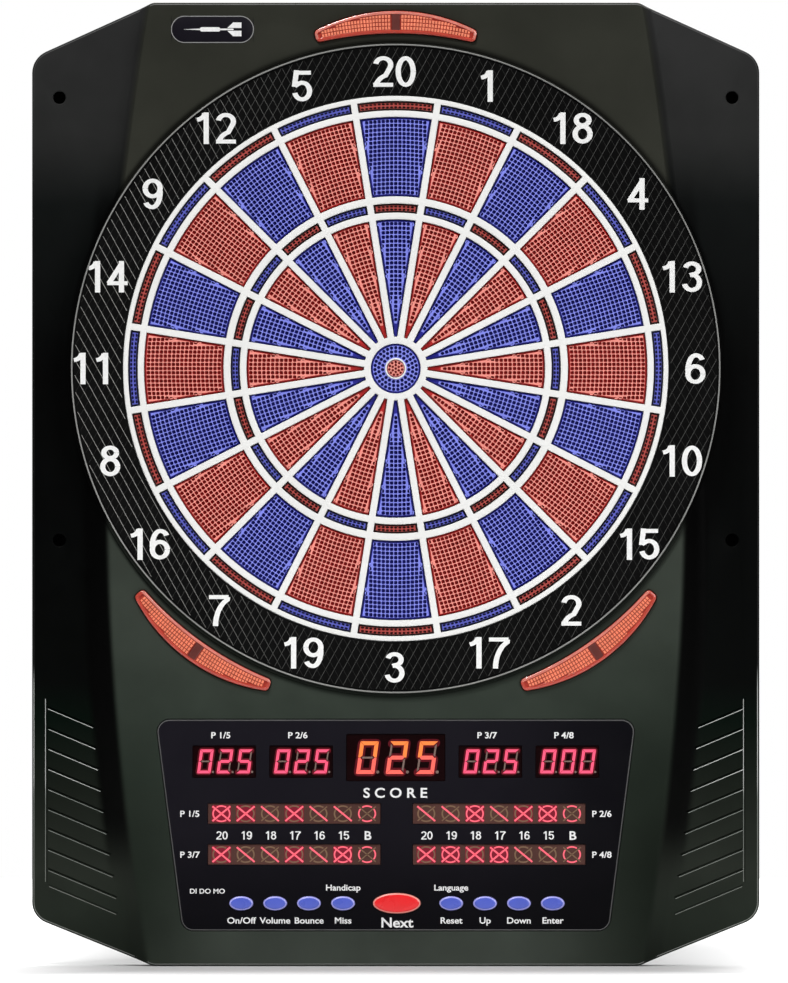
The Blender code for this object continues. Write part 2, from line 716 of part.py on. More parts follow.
def make_number_ring():
    """The ring of numbers, a channel whose face leans up towards the drum."""
    skin = Skin()
    skin.turned(
        [
            (RING_OUTER, RING_BACK),
            (RING_OUTER, RING_OUTER_FRONT),
            (RING_INNER, RING_INNER_FRONT),
            (RING_INNER, RING_BACK),
            (RING_INNER + RING_WALL, RING_BACK),
            (RING_INNER + RING_WALL, RING_INNER_FRONT - RING_WALL),
            (RING_OUTER - RING_WALL, RING_OUTER_FRONT - RING_WALL),
            (RING_OUTER - RING_WALL, RING_BACK),
        ],
        steps=ROUND_STEPS,
    )
    skin.build("number_ring", "ring_plastic")


def make_layers():
    """The sheets behind the segments: rubber, switch membrane with its tail, and backing board."""
    rubber = Skin()
    rubber.prism(circle(RUBBER_RADIUS, steps=40), *RUBBER)
    rubber.build("rubber_sheet", "rubber")
    away = math.pi - math.asin(TAIL_HALF_WIDTH / MEMBRANE_RADIUS)
    outline = [polar(MEMBRANE_RADIUS, away * (1 - step / 20)) for step in range(41)]
    outline += [(-TAIL_HALF_WIDTH, TAIL_END), (TAIL_HALF_WIDTH, TAIL_END)]
    membrane = Skin()
    membrane.prism(outline, *MEMBRANE)
    membrane.build("membrane_switch", "switch_film")
    board = Skin()
    board.prism(circle(BACKING_RADIUS, steps=40), *BACKING)
    board.build("backing_board", "hardboard")


def make_lamps():
    """Three crescent lenses with a lamp board behind each."""
    for name, angle in LENSES.items():
        outline = turned_outline(lens_outline(), angle)
        lens = Skin()
        outlines = (outline, outline, inset(outline, LENS_BEVEL))
        lens.loft(stack(zip(outlines, LENS_DEPTHS)))
        lens.build(f"{name}_lens", "lens_orange")
        board = Skin()
        board.prism(turned_outline(rectangle(*LAMP_BOARD, LAMP_BOARD_AT), angle), *LAMP_BOARD_DEPTHS)
        board.build(f"{name}_board", "circuit_board")


def display_windows():
    """Outlines of the plate's windows: five number displays and four cricket bars."""
    windows = [rectangle(*size, (x, z)) for x, z, size in DISPLAYS.values()]
    return windows + [rectangle(*BAR_WINDOW, (x, z)) for x in CRICKET_BARS.values() for z in BAR_ROWS]


def make_control_panel():
    """The plate with its windows and button holes, held by a lip behind the housing."""
    front = plate_outline()
    lip = inset(front, -PLATE_LIP)
    holes = display_windows()
    holes += [ellipse(*size, (x, BUTTON_ROW)) for x, size in BUTTONS.values()]
    skin = Skin()
    skin.cap(lip, PLATE_BACK, holes, front=False)
    skin.wall(lip, PLATE_BACK, PLATE_LIP_FRONT)
    skin.cap(lip, PLATE_LIP_FRONT, [front])
    skin.wall(front, PLATE_LIP_FRONT, PLATE_FRONT)
    skin.cap(front, PLATE_FRONT, holes)
    for hole in holes:
        skin.wall(hole, PLATE_BACK, PLATE_FRONT, inwards=True)
    skin.build("control_panel", "panel_gloss")


def make_displays():
    """Number and cricket displays: a base on the main board and faces in the plate's windows."""
    parts = {name: [(x, z, size)] for name, (x, z, size) in DISPLAYS.items()}
    for name, x in CRICKET_BARS.items():
        parts[name] = [(x, z, BAR_WINDOW) for z in BAR_ROWS]
    for name, windows in parts.items():
        faces = [inset(rectangle(*size, (x, z)), GAP) for x, z, size in windows]
        x, _, (width, height) = windows[0]
        top = height / 2 + DISPLAY_MARGIN[1]
        high, low = windows[0][1] + top, windows[-1][1] - top
        base = rectangle(width + 2 * DISPLAY_MARGIN[0], high - low, (x, (high + low) / 2))
        skin = Skin()
        skin.cap(base, DISPLAY_BASE[0], front=False)
        skin.wall(base, *DISPLAY_BASE)
        skin.cap(base, DISPLAY_BASE[1], faces)
        for face in faces:
            skin.boss(face, DISPLAY_BASE[1], DISPLAY_FRONT)
        skin.build(name, "display_red")


def make_buttons():
    """Nine oval buttons, each kept in the plate by a flange behind it."""
    for name, (x, (width, height)) in BUTTONS.items():
        place = (x, BUTTON_ROW)
        flange = ellipse(width + 2 * BUTTON_FLANGE, height + 2 * BUTTON_FLANGE, place)
        side, fall = BUTTON_BEVEL
        cap_width, cap_height = width - 2 * GAP, height - 2 * GAP
        cap = ellipse(cap_width, cap_height, place)
        crown = ellipse(cap_width - 2 * side, cap_height - 2 * side, place)
        shoulder = BUTTON_FRONT - fall
        skin = Skin()
        skin.loft(
            stack(
                [
                    (flange, BUTTON_BACK),
                    (flange, PLATE_BACK - GAP),
                    (cap, PLATE_BACK - GAP),
                    (cap, shoulder),
                    (crown, BUTTON_FRONT),
                ]
            )
        )
        skin.build(name, "button_red" if name == "button_next" else "button_blue")


def make_main_board():
    """The main circuit board, with a switch under each button."""
    board = rectangle(*MAIN_BOARD_SIZE, MAIN_BOARD_AT)
    switches = [rectangle(SWITCH_SIZE, SWITCH_SIZE, (x, BUTTON_ROW)) for x, size in BUTTONS.values()]
    skin = Skin()
    skin.cap(board, BOARD[0], front=False)
    skin.wall(board, *BOARD)
    skin.cap(board, BOARD[1], switches)
    for switch in switches:
        skin.boss(switch, BOARD[1], SWITCH_FRONT)
    skin.build("main_board", "circuit_board")


def make_speaker():
    """A small speaker that faces the rear cover's grille."""
    skin = Skin()
    skin.loft(stack([(circle(radius, SPEAKER_AT, 24), depth) for radius, depth in SPEAKER_PROFILE]))
    skin.build("speaker", "speaker_black")


def make_dc_jack():
    """The power socket, a block with a blind round mouth that faces down through the housing."""
    block = rectangle(*JACK_BLOCK)
    mouth = circle(JACK_MOUTH_RADIUS, steps=16)
    skin = Skin()
    skin.cap(block, -JACK_LENGTH, front=False)
    skin.wall(block, -JACK_LENGTH, 0)
    skin.cap(block, 0, [mouth])
    skin.wall(mouth, -JACK_MOUTH_REACH, 0, inwards=True)
    skin.cap(mouth, -JACK_MOUTH_REACH)
    jack = skin.build("dc_jack", "speaker_black")
    face_down(jack, BOTTOM + WALL + GAP)


def main():
    """Builds every part of the board."""
    for thing in list(bpy.data.objects):
        bpy.data.objects.remove(thing)
    make_housing()
    make_rear_cover()
    make_screws()
    make_spider()
    make_segments()
    make_bulls()
    make_number_ring()
    make_layers()
    make_lamps()
    make_control_panel()
    make_displays()
    make_buttons()
    make_main_board()
    make_speaker()
    make_dc_jack()


main()
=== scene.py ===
"""The looks of the electronic dartboard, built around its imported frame.

Lengths here are millimetres, with +X to the right and +Z up. A depth is a distance in front of the
wall, so a point at depth d lies at y = -d. Outlines are lists of (x, z) points that run anticlockwise
as the board's front shows them, and meshes are written in metres.
"""

import math

import bmesh
import bpy
import numpy as np
from mathutils import Matrix, Vector
from mathutils.geometry import delaunay_2d_cdt


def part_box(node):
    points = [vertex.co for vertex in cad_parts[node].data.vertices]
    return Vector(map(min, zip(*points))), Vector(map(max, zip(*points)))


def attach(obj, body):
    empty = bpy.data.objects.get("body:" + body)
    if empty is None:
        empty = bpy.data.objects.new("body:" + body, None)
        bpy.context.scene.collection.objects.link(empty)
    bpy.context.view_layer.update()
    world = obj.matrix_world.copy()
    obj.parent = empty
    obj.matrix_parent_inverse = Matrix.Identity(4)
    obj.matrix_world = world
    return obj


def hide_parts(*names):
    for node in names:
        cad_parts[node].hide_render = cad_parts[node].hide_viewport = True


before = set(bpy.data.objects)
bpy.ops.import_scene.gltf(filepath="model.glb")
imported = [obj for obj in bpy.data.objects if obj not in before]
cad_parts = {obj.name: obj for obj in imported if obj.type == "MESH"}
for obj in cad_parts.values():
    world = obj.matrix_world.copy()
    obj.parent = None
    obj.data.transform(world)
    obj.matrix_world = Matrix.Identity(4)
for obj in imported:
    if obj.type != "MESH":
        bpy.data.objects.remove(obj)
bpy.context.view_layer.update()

MM = 0.001


def node_box(node):
    """A node's (left, right), (back, front) depths and (low, high), in millimetres."""
    low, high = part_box(node)
    return (low.x / MM, high.x / MM), (-high.y / MM, -low.y / MM), (low.z / MM, high.z / MM)


def node_middle(node):
    """The (x, z) middle of a node."""
    (left, right), _, (low, high) = node_box(node)
    return (left + right) / 2, (low + high) / 2


# The housing: its outline with four cut corners, the raised panel, the slopes and the wings.
(_, HALF_WIDTH), (_, DRUM_FRONT), (BOTTOM, TOP) = node_box("front_housing")
SHOULDER = TOP - 34.9
HIP = BOTTOM + 30.9
CORNER_HALF_WIDTH = 155
HOUSING_WALL = 2.5
HOUSING_EDGE = 2.2
PANEL_FRONT = 33
PANEL_HALF_WIDTH = 183.2
PANEL_END_HALF_WIDTH = 157
PANEL_MIDDLE = (TOP + BOTTOM) / 2
SLOPE_WIDTHS = (5, 15, 11.5)
SLOPE_HEIGHTS = (120, -215, -340)
CREST_SOFTNESS = 0.16
FOOT_SOFTNESS = 0.35
BEAD_PLACE = (1.0, 1.4, 1.8)
BEAD_HEIGHT = 0.3
WING_INNER = (160, 24)
WING_OUTER = (HALF_WIDTH, 19)

# The target: openings of the grille, the pads in them and their perforation.
NUMBERS = (20, 1, 18, 4, 13, 6, 10, 15, 2, 17, 3, 19, 7, 16, 8, 11, 14, 9, 12, 5)
SECTORS = len(NUMBERS)
RIB = 4.3
BULL_HOLE = 15.9
BANDS = {
    "inner_single": (20.3, 95.3),
    "treble": (99.6, 105.4),
    "outer_single": (110, 160.7),
    "double": (164.8, 170.9),
}
PLAY = 0.35
(_, SPIDER_FLANGE), (_, SPIDER_FRONT), _ = node_box("spider")
SPIDER_RADIUS = 174.1
SPIDER_BACK = 18.5
SPIDER_FLANGE_FRONT = 20.8
_, (PAD_BACK, PAD_FRONT), _ = node_box("bull_inner")
PAD_FLANGE_FRONT = 18.2
PERFORATION = (2.2, 2.2)
NARROW_PERFORATION = (2.05, 1.2)
SMALLEST_PERFORATION = 0.9
BULL_PERFORATION = 1.1
PERFORATION_DEPTH = 1.5
PAD_EDGE = 1.2
NARROW_PAD_EDGE = 0.95
ROW_PITCH = 2.73
NARROW_ROW_PITCH = 1.8
COLUMN_PITCH = 2.65

# The ring of numbers and the drum around it.
(_, RING_OUTER), (RING_BACK, RING_OUTER_FRONT), _ = node_box("number_ring")
RING_INNER = 174.6
RING_INNER_FRONT = 31.6
RING_WALL = 2.2
DRUM_BORE = 206.3
DRUM_RADIUS = 209.3
DRUM_BACK = 16

# The three crescent lamps.
LAMPS = {"lamp_top": 0, "lamp_right": math.radians(144.7), "lamp_left": math.radians(-144.7)}
LENS_INNER_RADIUS = 213.9
LENS_ARC_RADIUS = 111.2
LENS_ARC_CENTRE = 117.1
LENS_HALF_ANGLE = math.radians(13.65)
LENS_TIP = 2.9
_, (LENS_BACK, LENS_FRONT), _ = node_box("lamp_top_lens")

# The control panel plate, its windows and its buttons.
_, (PLATE_BACK, PLATE_FRONT), (PLATE_LOW, PLATE_HIGH) = node_box("control_panel")
PLATE_LIP = 3
PLATE_LIP_FRONT = 30.2
PLATE_TOP_HALF_WIDTH = 153.4
PLATE_BOTTOM_HALF_WIDTH = 136.2
PLATE_CORNER = 8
GAP = 0.3
NUMBER_DISPLAYS = ("display_player_1", "display_player_2", "display_player_3", "display_player_4")
CRICKET_DISPLAYS = ("cricket_display_left", "cricket_display_right")
_, (_, DISPLAY_FRONT), _ = node_box("display_main")
DISPLAY_MARGIN = (2, 1.6)
BAR_SIZE = (110.6, 13.4)
CRICKET_PITCH = 15.5
BUTTONS = ("on_off", "volume", "bounce", "miss", "next", "reset", "up", "down", "enter")
BUTTON_FLANGE = 1.2
_, (BUTTON_BACK, BUTTON_FRONT), _ = node_box("button_next")

# Fixings and louvres.
WELLS = [(side * 215, z) for side in (-1, 1) for z in (173.3, -109.5)]
WELL_RADIUS = 4
WELL_TUBE_RADIUS = 7
SCREWS = ("top_left", "top_right", "bottom_left", "bottom_right")
POST_FRONT = 18.5
LOUVRES = 9
LOUVRE_PITCH = 12.9
LOUVRE_FIRST = -216.1
LOUVRE_OUTER_X = 223.8
LOUVRE_FALL = math.tan(math.radians(22))

# Points in a full circle, unless said otherwise.
ROUND_STEPS = 256


# Outlines ------------------------------------------------------------------------------------------


def polar(radius, angle):
    """The (x, z) point at a radius and an angle clockwise from the top."""
    return radius * math.sin(angle), radius * math.cos(angle)


def ellipse(width, height, centre=(0, 0), steps=48):
    """Outline of an ellipse."""
    turns = [2 * math.pi * step / steps for step in range(steps)]
    return [
        (centre[0] + width / 2 * math.cos(turn), centre[1] + height / 2 * math.sin(turn))
        for turn in turns
    ]


def circle(radius, centre=(0, 0), steps=ROUND_STEPS):
    """Outline of a circle."""
    return ellipse(2 * radius, 2 * radius, centre, steps)


def left_of(direction):
    """The direction turned a quarter anticlockwise, which points into an anticlockwise outline."""
    return Vector((-direction.y, direction.x))


def rounded(corners, steps=8):
    """Outline through (x, z, radius) corners, each turned by an arc of its radius."""
    outline = []
    for index, (x, z, radius) in enumerate(corners):
        corner = Vector((x, z))
        if radius == 0:
            outline.append((x, z))
            continue
        before = (corner - Vector(corners[index - 1][:2])).normalized()
        after = (Vector(corners[(index + 1) % len(corners)][:2]) - corner).normalized()
        turn = math.atan2(before.cross(after), before.dot(after))
        start = corner - before * radius * math.tan(abs(turn) / 2)
        centre = start + left_of(before) * radius * math.copysign(1, turn)
        for step in range(steps + 1):
            spoke = Matrix.Rotation(turn * step / steps, 2) @ (start - centre)
            outline.append(tuple(centre + spoke))
    return outline


def rounded_rectangle(width, height, radius, centre=(0, 0), steps=6):
    """Outline of an upright rectangle with rounded corners."""
    x, z = centre
    right, top = width / 2, height / 2
    corners = [(x + right, z - top), (x + right, z + top), (x - right, z + top), (x - right, z - top)]
    return rounded([(*corner, radius) for corner in corners], steps)


def inset(outline, distance):
    """The outline moved inwards by a distance, or outwards by a negative one."""
    shifted = []
    for index, point in enumerate(outline):
        corner = Vector(point)
        before = left_of((corner - Vector(outline[index - 1])).normalized())
        after = left_of((Vector(outline[(index + 1) % len(outline)]) - corner).normalized())
        shifted.append(tuple(corner + (before + after) * distance / (1 + before.dot(after))))
    return shifted


def swung(outline, angle):
    """The outline swung clockwise around the bull."""
    swing = Matrix.Rotation(-angle, 2)
    return [tuple(swing @ Vector(point)) for point in outline]


def moved(outline, x, z):
    """The outline moved sideways and up."""
    return [(px + x, pz + z) for px, pz in outline]


def tip_radius(side_gap):
    """The smallest radius at which a zone is still wide enough for a face between its side gaps."""
    return (side_gap + 0.8) / math.sin(math.pi / SECTORS)


def sector(inner, outer, side_gap, spacing=4, shrink=0.0):
    """Outline of the top sector's zone between two radii, side_gap from the lines between numbers.

    shrink moves all its sides inwards and keeps the number of points.
    """

    def side(radius, turn):
        """Points along the outer side, for a turn of 1, or back along the inner one, for -1."""
        half = math.pi / SECTORS - math.asin(side_gap / radius)
        steps = max(2, round(2 * half * radius / spacing))
        if shrink:
            radius = max(radius - turn * shrink, tip_radius(side_gap + shrink))
            half = math.pi / SECTORS - math.asin((side_gap + shrink) / radius)
        return [polar(radius, turn * half * (1 - 2 * step / steps)) for step in range(steps + 1)]

    return side(outer, 1) + side(inner, -1)


def ribbon(path, width):
    """Outline of a stroke of one width along a path, with square ends."""
    points = [Vector(point) for point in path]
    left, right = [], []
    for index, point in enumerate(points):
        before = (point - points[max(index - 1, 0)]).normalized()
        after = (points[min(index + 1, len(points) - 1)] - point).normalized()
        side = left_of((before + after).normalized())
        reach = width / 2 / max(0.5, side.dot(left_of(after if index == 0 else before)))
        left.append(tuple(point + side * reach))
        right.append(tuple(point - side * reach))
    return right + left[::-1]


def capsule(start, end, radius, steps=6):
    """Outline of a stroke with round ends."""
    start, end = Vector(start), Vector(end)
    ahead = (end - start).normalized()
    side = left_of(ahead)
    turns = [math.pi * step / steps for step in range(steps + 1)]
    front = [end + radius * (ahead * math.sin(turn) - side * math.cos(turn)) for turn in turns]
    back = [start + radius * (side * math.cos(turn) - ahead * math.sin(turn)) for turn in turns]
    return [tuple(point) for point in front + back]


# Mesh building -------------------------------------------------------------------------------------


def inside(points, loops):
    """Which of the (n, 2) points lie inside an odd number of the loops."""
    start = np.concatenate([np.array(loop, float) for loop in loops])
    end = np.concatenate([np.roll(np.array(loop, float), -1, axis=0) for loop in loops])
    rise = np.where(end[:, 1] == start[:, 1], 1, end[:, 1] - start[:, 1])
    run = (end[:, 0] - start[:, 0]) / rise
    found = np.zeros(len(points), bool)
    block = 2048
    for first in range(0, len(points), block):
        x = points[first:first + block, 0:1]
        z = points[first:first + block, 1:2]
        crosses = (start[:, 1] > z) != (end[:, 1] > z)
        left = x < start[:, 0] + (z - start[:, 1]) * run
        found[first:first + block] = (crosses & left).sum(axis=1) % 2 == 1
    return found


def triangulate(loops, lines=(), keep=None):
    """Delaunay points and triangles inside the loops, with edges along the loops and the open lines.

    The points come back as an (n, 2) array, and the triangles, which turn anticlockwise, as an
    (m, 3) one. keep, when given, says which triangle centres stay.
    """
    points = []
    edges = []
    for path, closed in [(loop, True) for loop in loops] + [(line, False) for line in lines]:
        first = len(points)
        points += path
        edges += [(first + step, first + step + 1) for step in range(len(path) - 1)]
        if closed:
            edges.append((first + len(path) - 1, first))
    corners, _, faces, sources, _, _ = delaunay_2d_cdt(
        [Vector(point) for point in points], edges, [], 0, 1e-5
    )
    places = np.array([points[source[0]] if source else tuple(corner)
                       for corner, source in zip(corners, sources)], float)
    triangles = np.array([list(face) for face in faces], int)
    centres = places[triangles].mean(axis=1)
    triangles = triangles[inside(centres, loops) if keep is None else keep(centres)]
    first, second, third = (places[triangles[:, corner]] for corner in range(3))
    turn = (second - first)[:, 0] * (third - first)[:, 1] - (second - first)[:, 1] * (third - first)[:, 0]
    triangles[turn < 0] = triangles[turn < 0][:, ::-1]
    return places, triangles[np.abs(turn) > 1e-9]


class Skin:
    """Collects the faces of closed solids and makes an object of them."""

    def __init__(self):
        self.faces = []
        self.finishes = []
        self.finish = 0

    def add(self, face):
        """One face of (x, depth, z) points that turn anticlockwise as seen from outside."""
        self.faces.append(face)
        self.finishes.append(self.finish)

    def cap(self, outline, depth, holes=(), front=True):
        """A flat face with holes at one depth, which looks to the front or to the back."""
        places, triangles = triangulate([outline, *holes])
        for triangle in triangles:
            face = [(places[corner][0], depth, places[corner][1]) for corner in triangle]
            self.add(face if front else face[::-1])

    def band(self, back, front, inwards=False):
        """Faces between two loops of (x, depth, z) points that run side by side."""
        for index in range(len(back)):
            face = [back[index - 1], back[index], front[index], front[index - 1]]
            self.add(face[::-1] if inwards else face)

    def levels(self, steps, inwards=False):
        """Bands through (outline, depth) steps, which run from the back to the front."""
        loops = [[(x, depth, z) for x, z in outline] for outline, depth in steps]
        for back, front in zip(loops, loops[1:]):
            self.band(back, front, inwards)

    def solid(self, steps):
        """A solid through (outline, depth) steps from the back to the front, with flat ends."""
        self.cap(*steps[0], front=False)
        self.levels(steps)
        self.cap(*steps[-1])

    def turned(self, profile, steps=ROUND_STEPS):
        """A ring whose section is a loop of (radius, depth): up its outer wall, down its inner one."""
        loops = [[(x, depth, z) for x, z in circle(radius, steps=steps)] for radius, depth in profile]
        for index in range(len(loops)):
            self.band(loops[index - 1], loops[index])

    def tube(self, sections):
        """A closed tube through loops of (x, depth, z) points."""
        self.add(sections[0][::-1])
        self.add(sections[-1])
        for back, front in zip(sections, sections[1:]):
            self.band(back, front)

    def relief(self, places, triangles, front, back):
        """A closed shell over triangles in plan, between a front and a back depth for each place."""
        for triangle in triangles:
            self.add([(places[c][0], front[c], places[c][1]) for c in triangle])
            self.add([(places[c][0], back[c], places[c][1]) for c in triangle[::-1]])
        used = {(a, b) for t in triangles for a, b in ((t[0], t[1]), (t[1], t[2]), (t[2], t[0]))}
        for start, end in used:
            if (end, start) not in used:
                corners = [(start, back), (end, back), (end, front), (start, front)]
                self.add([(places[c][0], depth[c], places[c][1]) for c, depth in corners])

    def prism(self, loops, back, front, keep=None):
        """A plate over loops, between two depths."""
        places, triangles = triangulate(loops, keep=keep)
        self.relief(places, triangles, np.full(len(places), front), np.full(len(places), back))

    def build(self, name, materials, sharp=32):
        """One object of the collected faces, with shared corners where faces meet."""
        corners = {}
        faces = []
        for face in self.faces:
            keys = [(round(x, 4), round(depth, 4), round(z, 4)) for x, depth, z in face]
            faces.append([corners.setdefault(key, len(corners)) for key in keys])
        mesh = bpy.data.meshes.new(name)
        mesh.from_pydata([(x * MM, -depth * MM, z * MM) for x, depth, z in corners], [], faces)
        for material in materials:
            mesh.materials.append(material)
        mesh.polygons.foreach_set("material_index", self.finishes)
        mesh.shade_smooth()
        mesh.set_sharp_from_angle(angle=math.radians(sharp))
        return place_mesh(name, mesh)


def place_mesh(name, mesh):
    """A new object in the scene that shows the mesh."""
    piece = bpy.data.objects.new(name, mesh)
    bpy.context.scene.collection.objects.link(piece)
    return piece


def dress(piece, body, slot, *nodes):
    """Makes a piece ride on a body and hides the nodes that it stands for; slot is not used."""
    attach(piece, body)
    if nodes:
        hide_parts(*nodes)


def lettering(text, height, centre, depth, spread=1.0, weight=0.0):
    """Thin raised letters, centred on a place, as a bmesh in metres."""
    curve = bpy.data.curves.new("letters", "FONT")
    curve.body = text
    curve.size = height / 0.7
    curve.align_x = "CENTER"
    curve.offset = weight
    curve.extrude = 0.04
    curve.resolution_u = 4
    holder = place_mesh("letters", curve)
    bpy.context.view_layer.update()
    mesh = bpy.data.meshes.new_from_object(holder.evaluated_get(bpy.context.evaluated_depsgraph_get()))
    letters = bmesh.new()
    letters.from_mesh(mesh)
    bmesh.ops.remove_doubles(letters, verts=letters.verts, dist=1e-4)
    stand = Matrix(((spread, 0, 0, centre[0]), (0, 0, -1, -depth), (0, 1, 0, centre[1] - height / 2)))
    stand = stand.to_4x4()
    bmesh.ops.transform(letters, matrix=Matrix.Scale(MM, 4) @ stand, verts=letters.verts)
    bpy.data.objects.remove(holder)
    bpy.data.curves.remove(curve)
    bpy.data.meshes.remove(mesh)
    return letters


# Materials -----------------------------------------------------------------------------------------


class Shader:
    """A material's nodes, with short ways to add procedural detail."""

    def __init__(self, name, colour, roughness, metallic=0.0):
        self.material = bpy.data.materials.new(name)
        self.material.use_nodes = True
        self.nodes = self.material.node_tree.nodes
        self.shader = self.nodes["Principled BSDF"]
        self.set("Base Color", (*colour, 1))
        self.set("Roughness", roughness)
        self.set("Metallic", metallic)
        self.place = self.nodes.new("ShaderNodeTexCoord").outputs["Object"]
        self.bumped = None

    def set(self, socket, value):
        """A constant value on one of the shader's sockets."""
        self.shader.inputs[socket].default_value = value

    def join(self, output, socket):
        """A link between two sockets."""
        self.material.node_tree.links.new(output, socket)

    def noise(self, size, detail=3.0, stretch=(1, 1, 1)):
        """Cloudy noise whose features are about size millimetres across."""
        mapping = self.nodes.new("ShaderNodeMapping")
        mapping.inputs["Scale"].default_value = stretch
        self.join(self.place, mapping.inputs["Vector"])
        noise = self.nodes.new("ShaderNodeTexNoise")
        noise.inputs["Scale"].default_value = 1 / (size * MM)
        noise.inputs["Detail"].default_value = detail
        self.join(mapping.outputs["Vector"], noise.inputs["Vector"])
        return noise.outputs["Fac"]

    def spread(self, factor, low, high, socket):
        """Drives a number socket from low to high by a factor."""
        spread = self.nodes.new("ShaderNodeMapRange")
        spread.inputs["From Min"].default_value = 0.3
        spread.inputs["From Max"].default_value = 0.7
        spread.inputs["To Min"].default_value = low
        spread.inputs["To Max"].default_value = high
        self.join(factor, spread.inputs["Value"])
        self.join(spread.outputs["Result"], self.shader.inputs[socket])

    def tint(self, factor, first, second):
        """Drives the base colour from one colour to another by a factor."""
        ramp = self.nodes.new("ShaderNodeValToRGB")
        ramp.color_ramp.elements[0].position = 0.35
        ramp.color_ramp.elements[0].color = (*first, 1)
        ramp.color_ramp.elements[1].position = 0.65
        ramp.color_ramp.elements[1].color = (*second, 1)
        self.join(factor, ramp.inputs["Fac"])
        self.join(ramp.outputs["Color"], self.shader.inputs["Base Color"])

    def axis(self, letter):
        """The object's own coordinate along an axis, in metres."""
        split = self.nodes.new("ShaderNodeSeparateXYZ")
        self.join(self.place, split.inputs["Vector"])
        return split.outputs[letter]

    def compute(self, operation, *values):
        """A sum, product or the like of sockets and numbers."""
        node = self.nodes.new("ShaderNodeMath")
        node.operation = operation
        for socket, value in zip(node.inputs, values):
            if isinstance(value, (int, float)):
                socket.default_value = value
            else:
                self.join(value, socket)
        return node.outputs["Value"]

    def length(self, first, second):
        """The length of a vector with these two parts."""
        squares = [self.compute("MULTIPLY", part, part) for part in (first, second)]
        return self.compute("SQRT", self.compute("ADD", *squares))

    def rise(self, value, start, end):
        """A factor that rises smoothly from 0 to 1 while a value goes from start to end, in millimetres."""
        rise = self.nodes.new("ShaderNodeMapRange")
        rise.interpolation_type = "SMOOTHSTEP"
        rise.inputs["From Min"].default_value = start * MM
        rise.inputs["From Max"].default_value = end * MM
        self.join(value, rise.inputs["Value"])
        return rise.outputs["Result"]

    def stages(self, value, stages):
        """A colour that follows a value through (millimetres, colour) stages."""
        start, end = stages[0][0], stages[-1][0]
        share = self.nodes.new("ShaderNodeMapRange")
        share.inputs["From Min"].default_value = start * MM
        share.inputs["From Max"].default_value = end * MM
        self.join(value, share.inputs["Value"])
        ramp = self.nodes.new("ShaderNodeValToRGB")
        points = ramp.color_ramp.elements
        while len(points) < len(stages):
            points.new(1)
        for point, (place, colour) in zip(points, stages):
            point.position = (place - start) / (end - start)
            point.color = (*colour, 1)
        self.join(share.outputs["Result"], ramp.inputs["Fac"])
        return ramp.outputs["Color"]

    def blend(self, kind, factor, first, second):
        """A colour socket mixed with another or with a colour, by a share that is a number or a socket."""
        mix = self.nodes.new("ShaderNodeMix")
        mix.data_type = "RGBA"
        mix.blend_type = kind
        if isinstance(factor, float):
            mix.inputs["Factor"].default_value = factor
        else:
            self.join(factor, mix.inputs["Factor"])
        self.join(first, mix.inputs[6])
        if isinstance(second, tuple):
            mix.inputs[7].default_value = (*second, 1)
        else:
            self.join(second, mix.inputs[7])
        return mix.outputs[2]

    def bump(self, factor, depth):
        """Fine relief, depth millimetres high, on top of any added before."""
        bump = self.nodes.new("ShaderNodeBump")
        bump.inputs["Distance"].default_value = depth * MM
        self.join(factor, bump.inputs["Height"])
        if self.bumped:
            self.join(self.bumped, bump.inputs["Normal"])
        self.bumped = bump.outputs["Normal"]
        self.join(self.bumped, self.shader.inputs["Normal"])


def moulded(name, colour, roughness, grain=0.35, height=0.03, wear=0.06):
    """Moulded plastic: a fine eroded grain, faint clouds of colour and uneven gloss."""
    look = Shader(name, colour, roughness)
    darker = tuple(value * (1 - wear) for value in colour)
    lighter = tuple(min(1, value * (1 + wear)) for value in colour)
    look.tint(look.noise(38, 4), darker, lighter)
    look.spread(look.noise(12, 4), roughness - 0.05, roughness + 0.05, "Roughness")
    look.bump(look.noise(grain, 2), height)
    return look


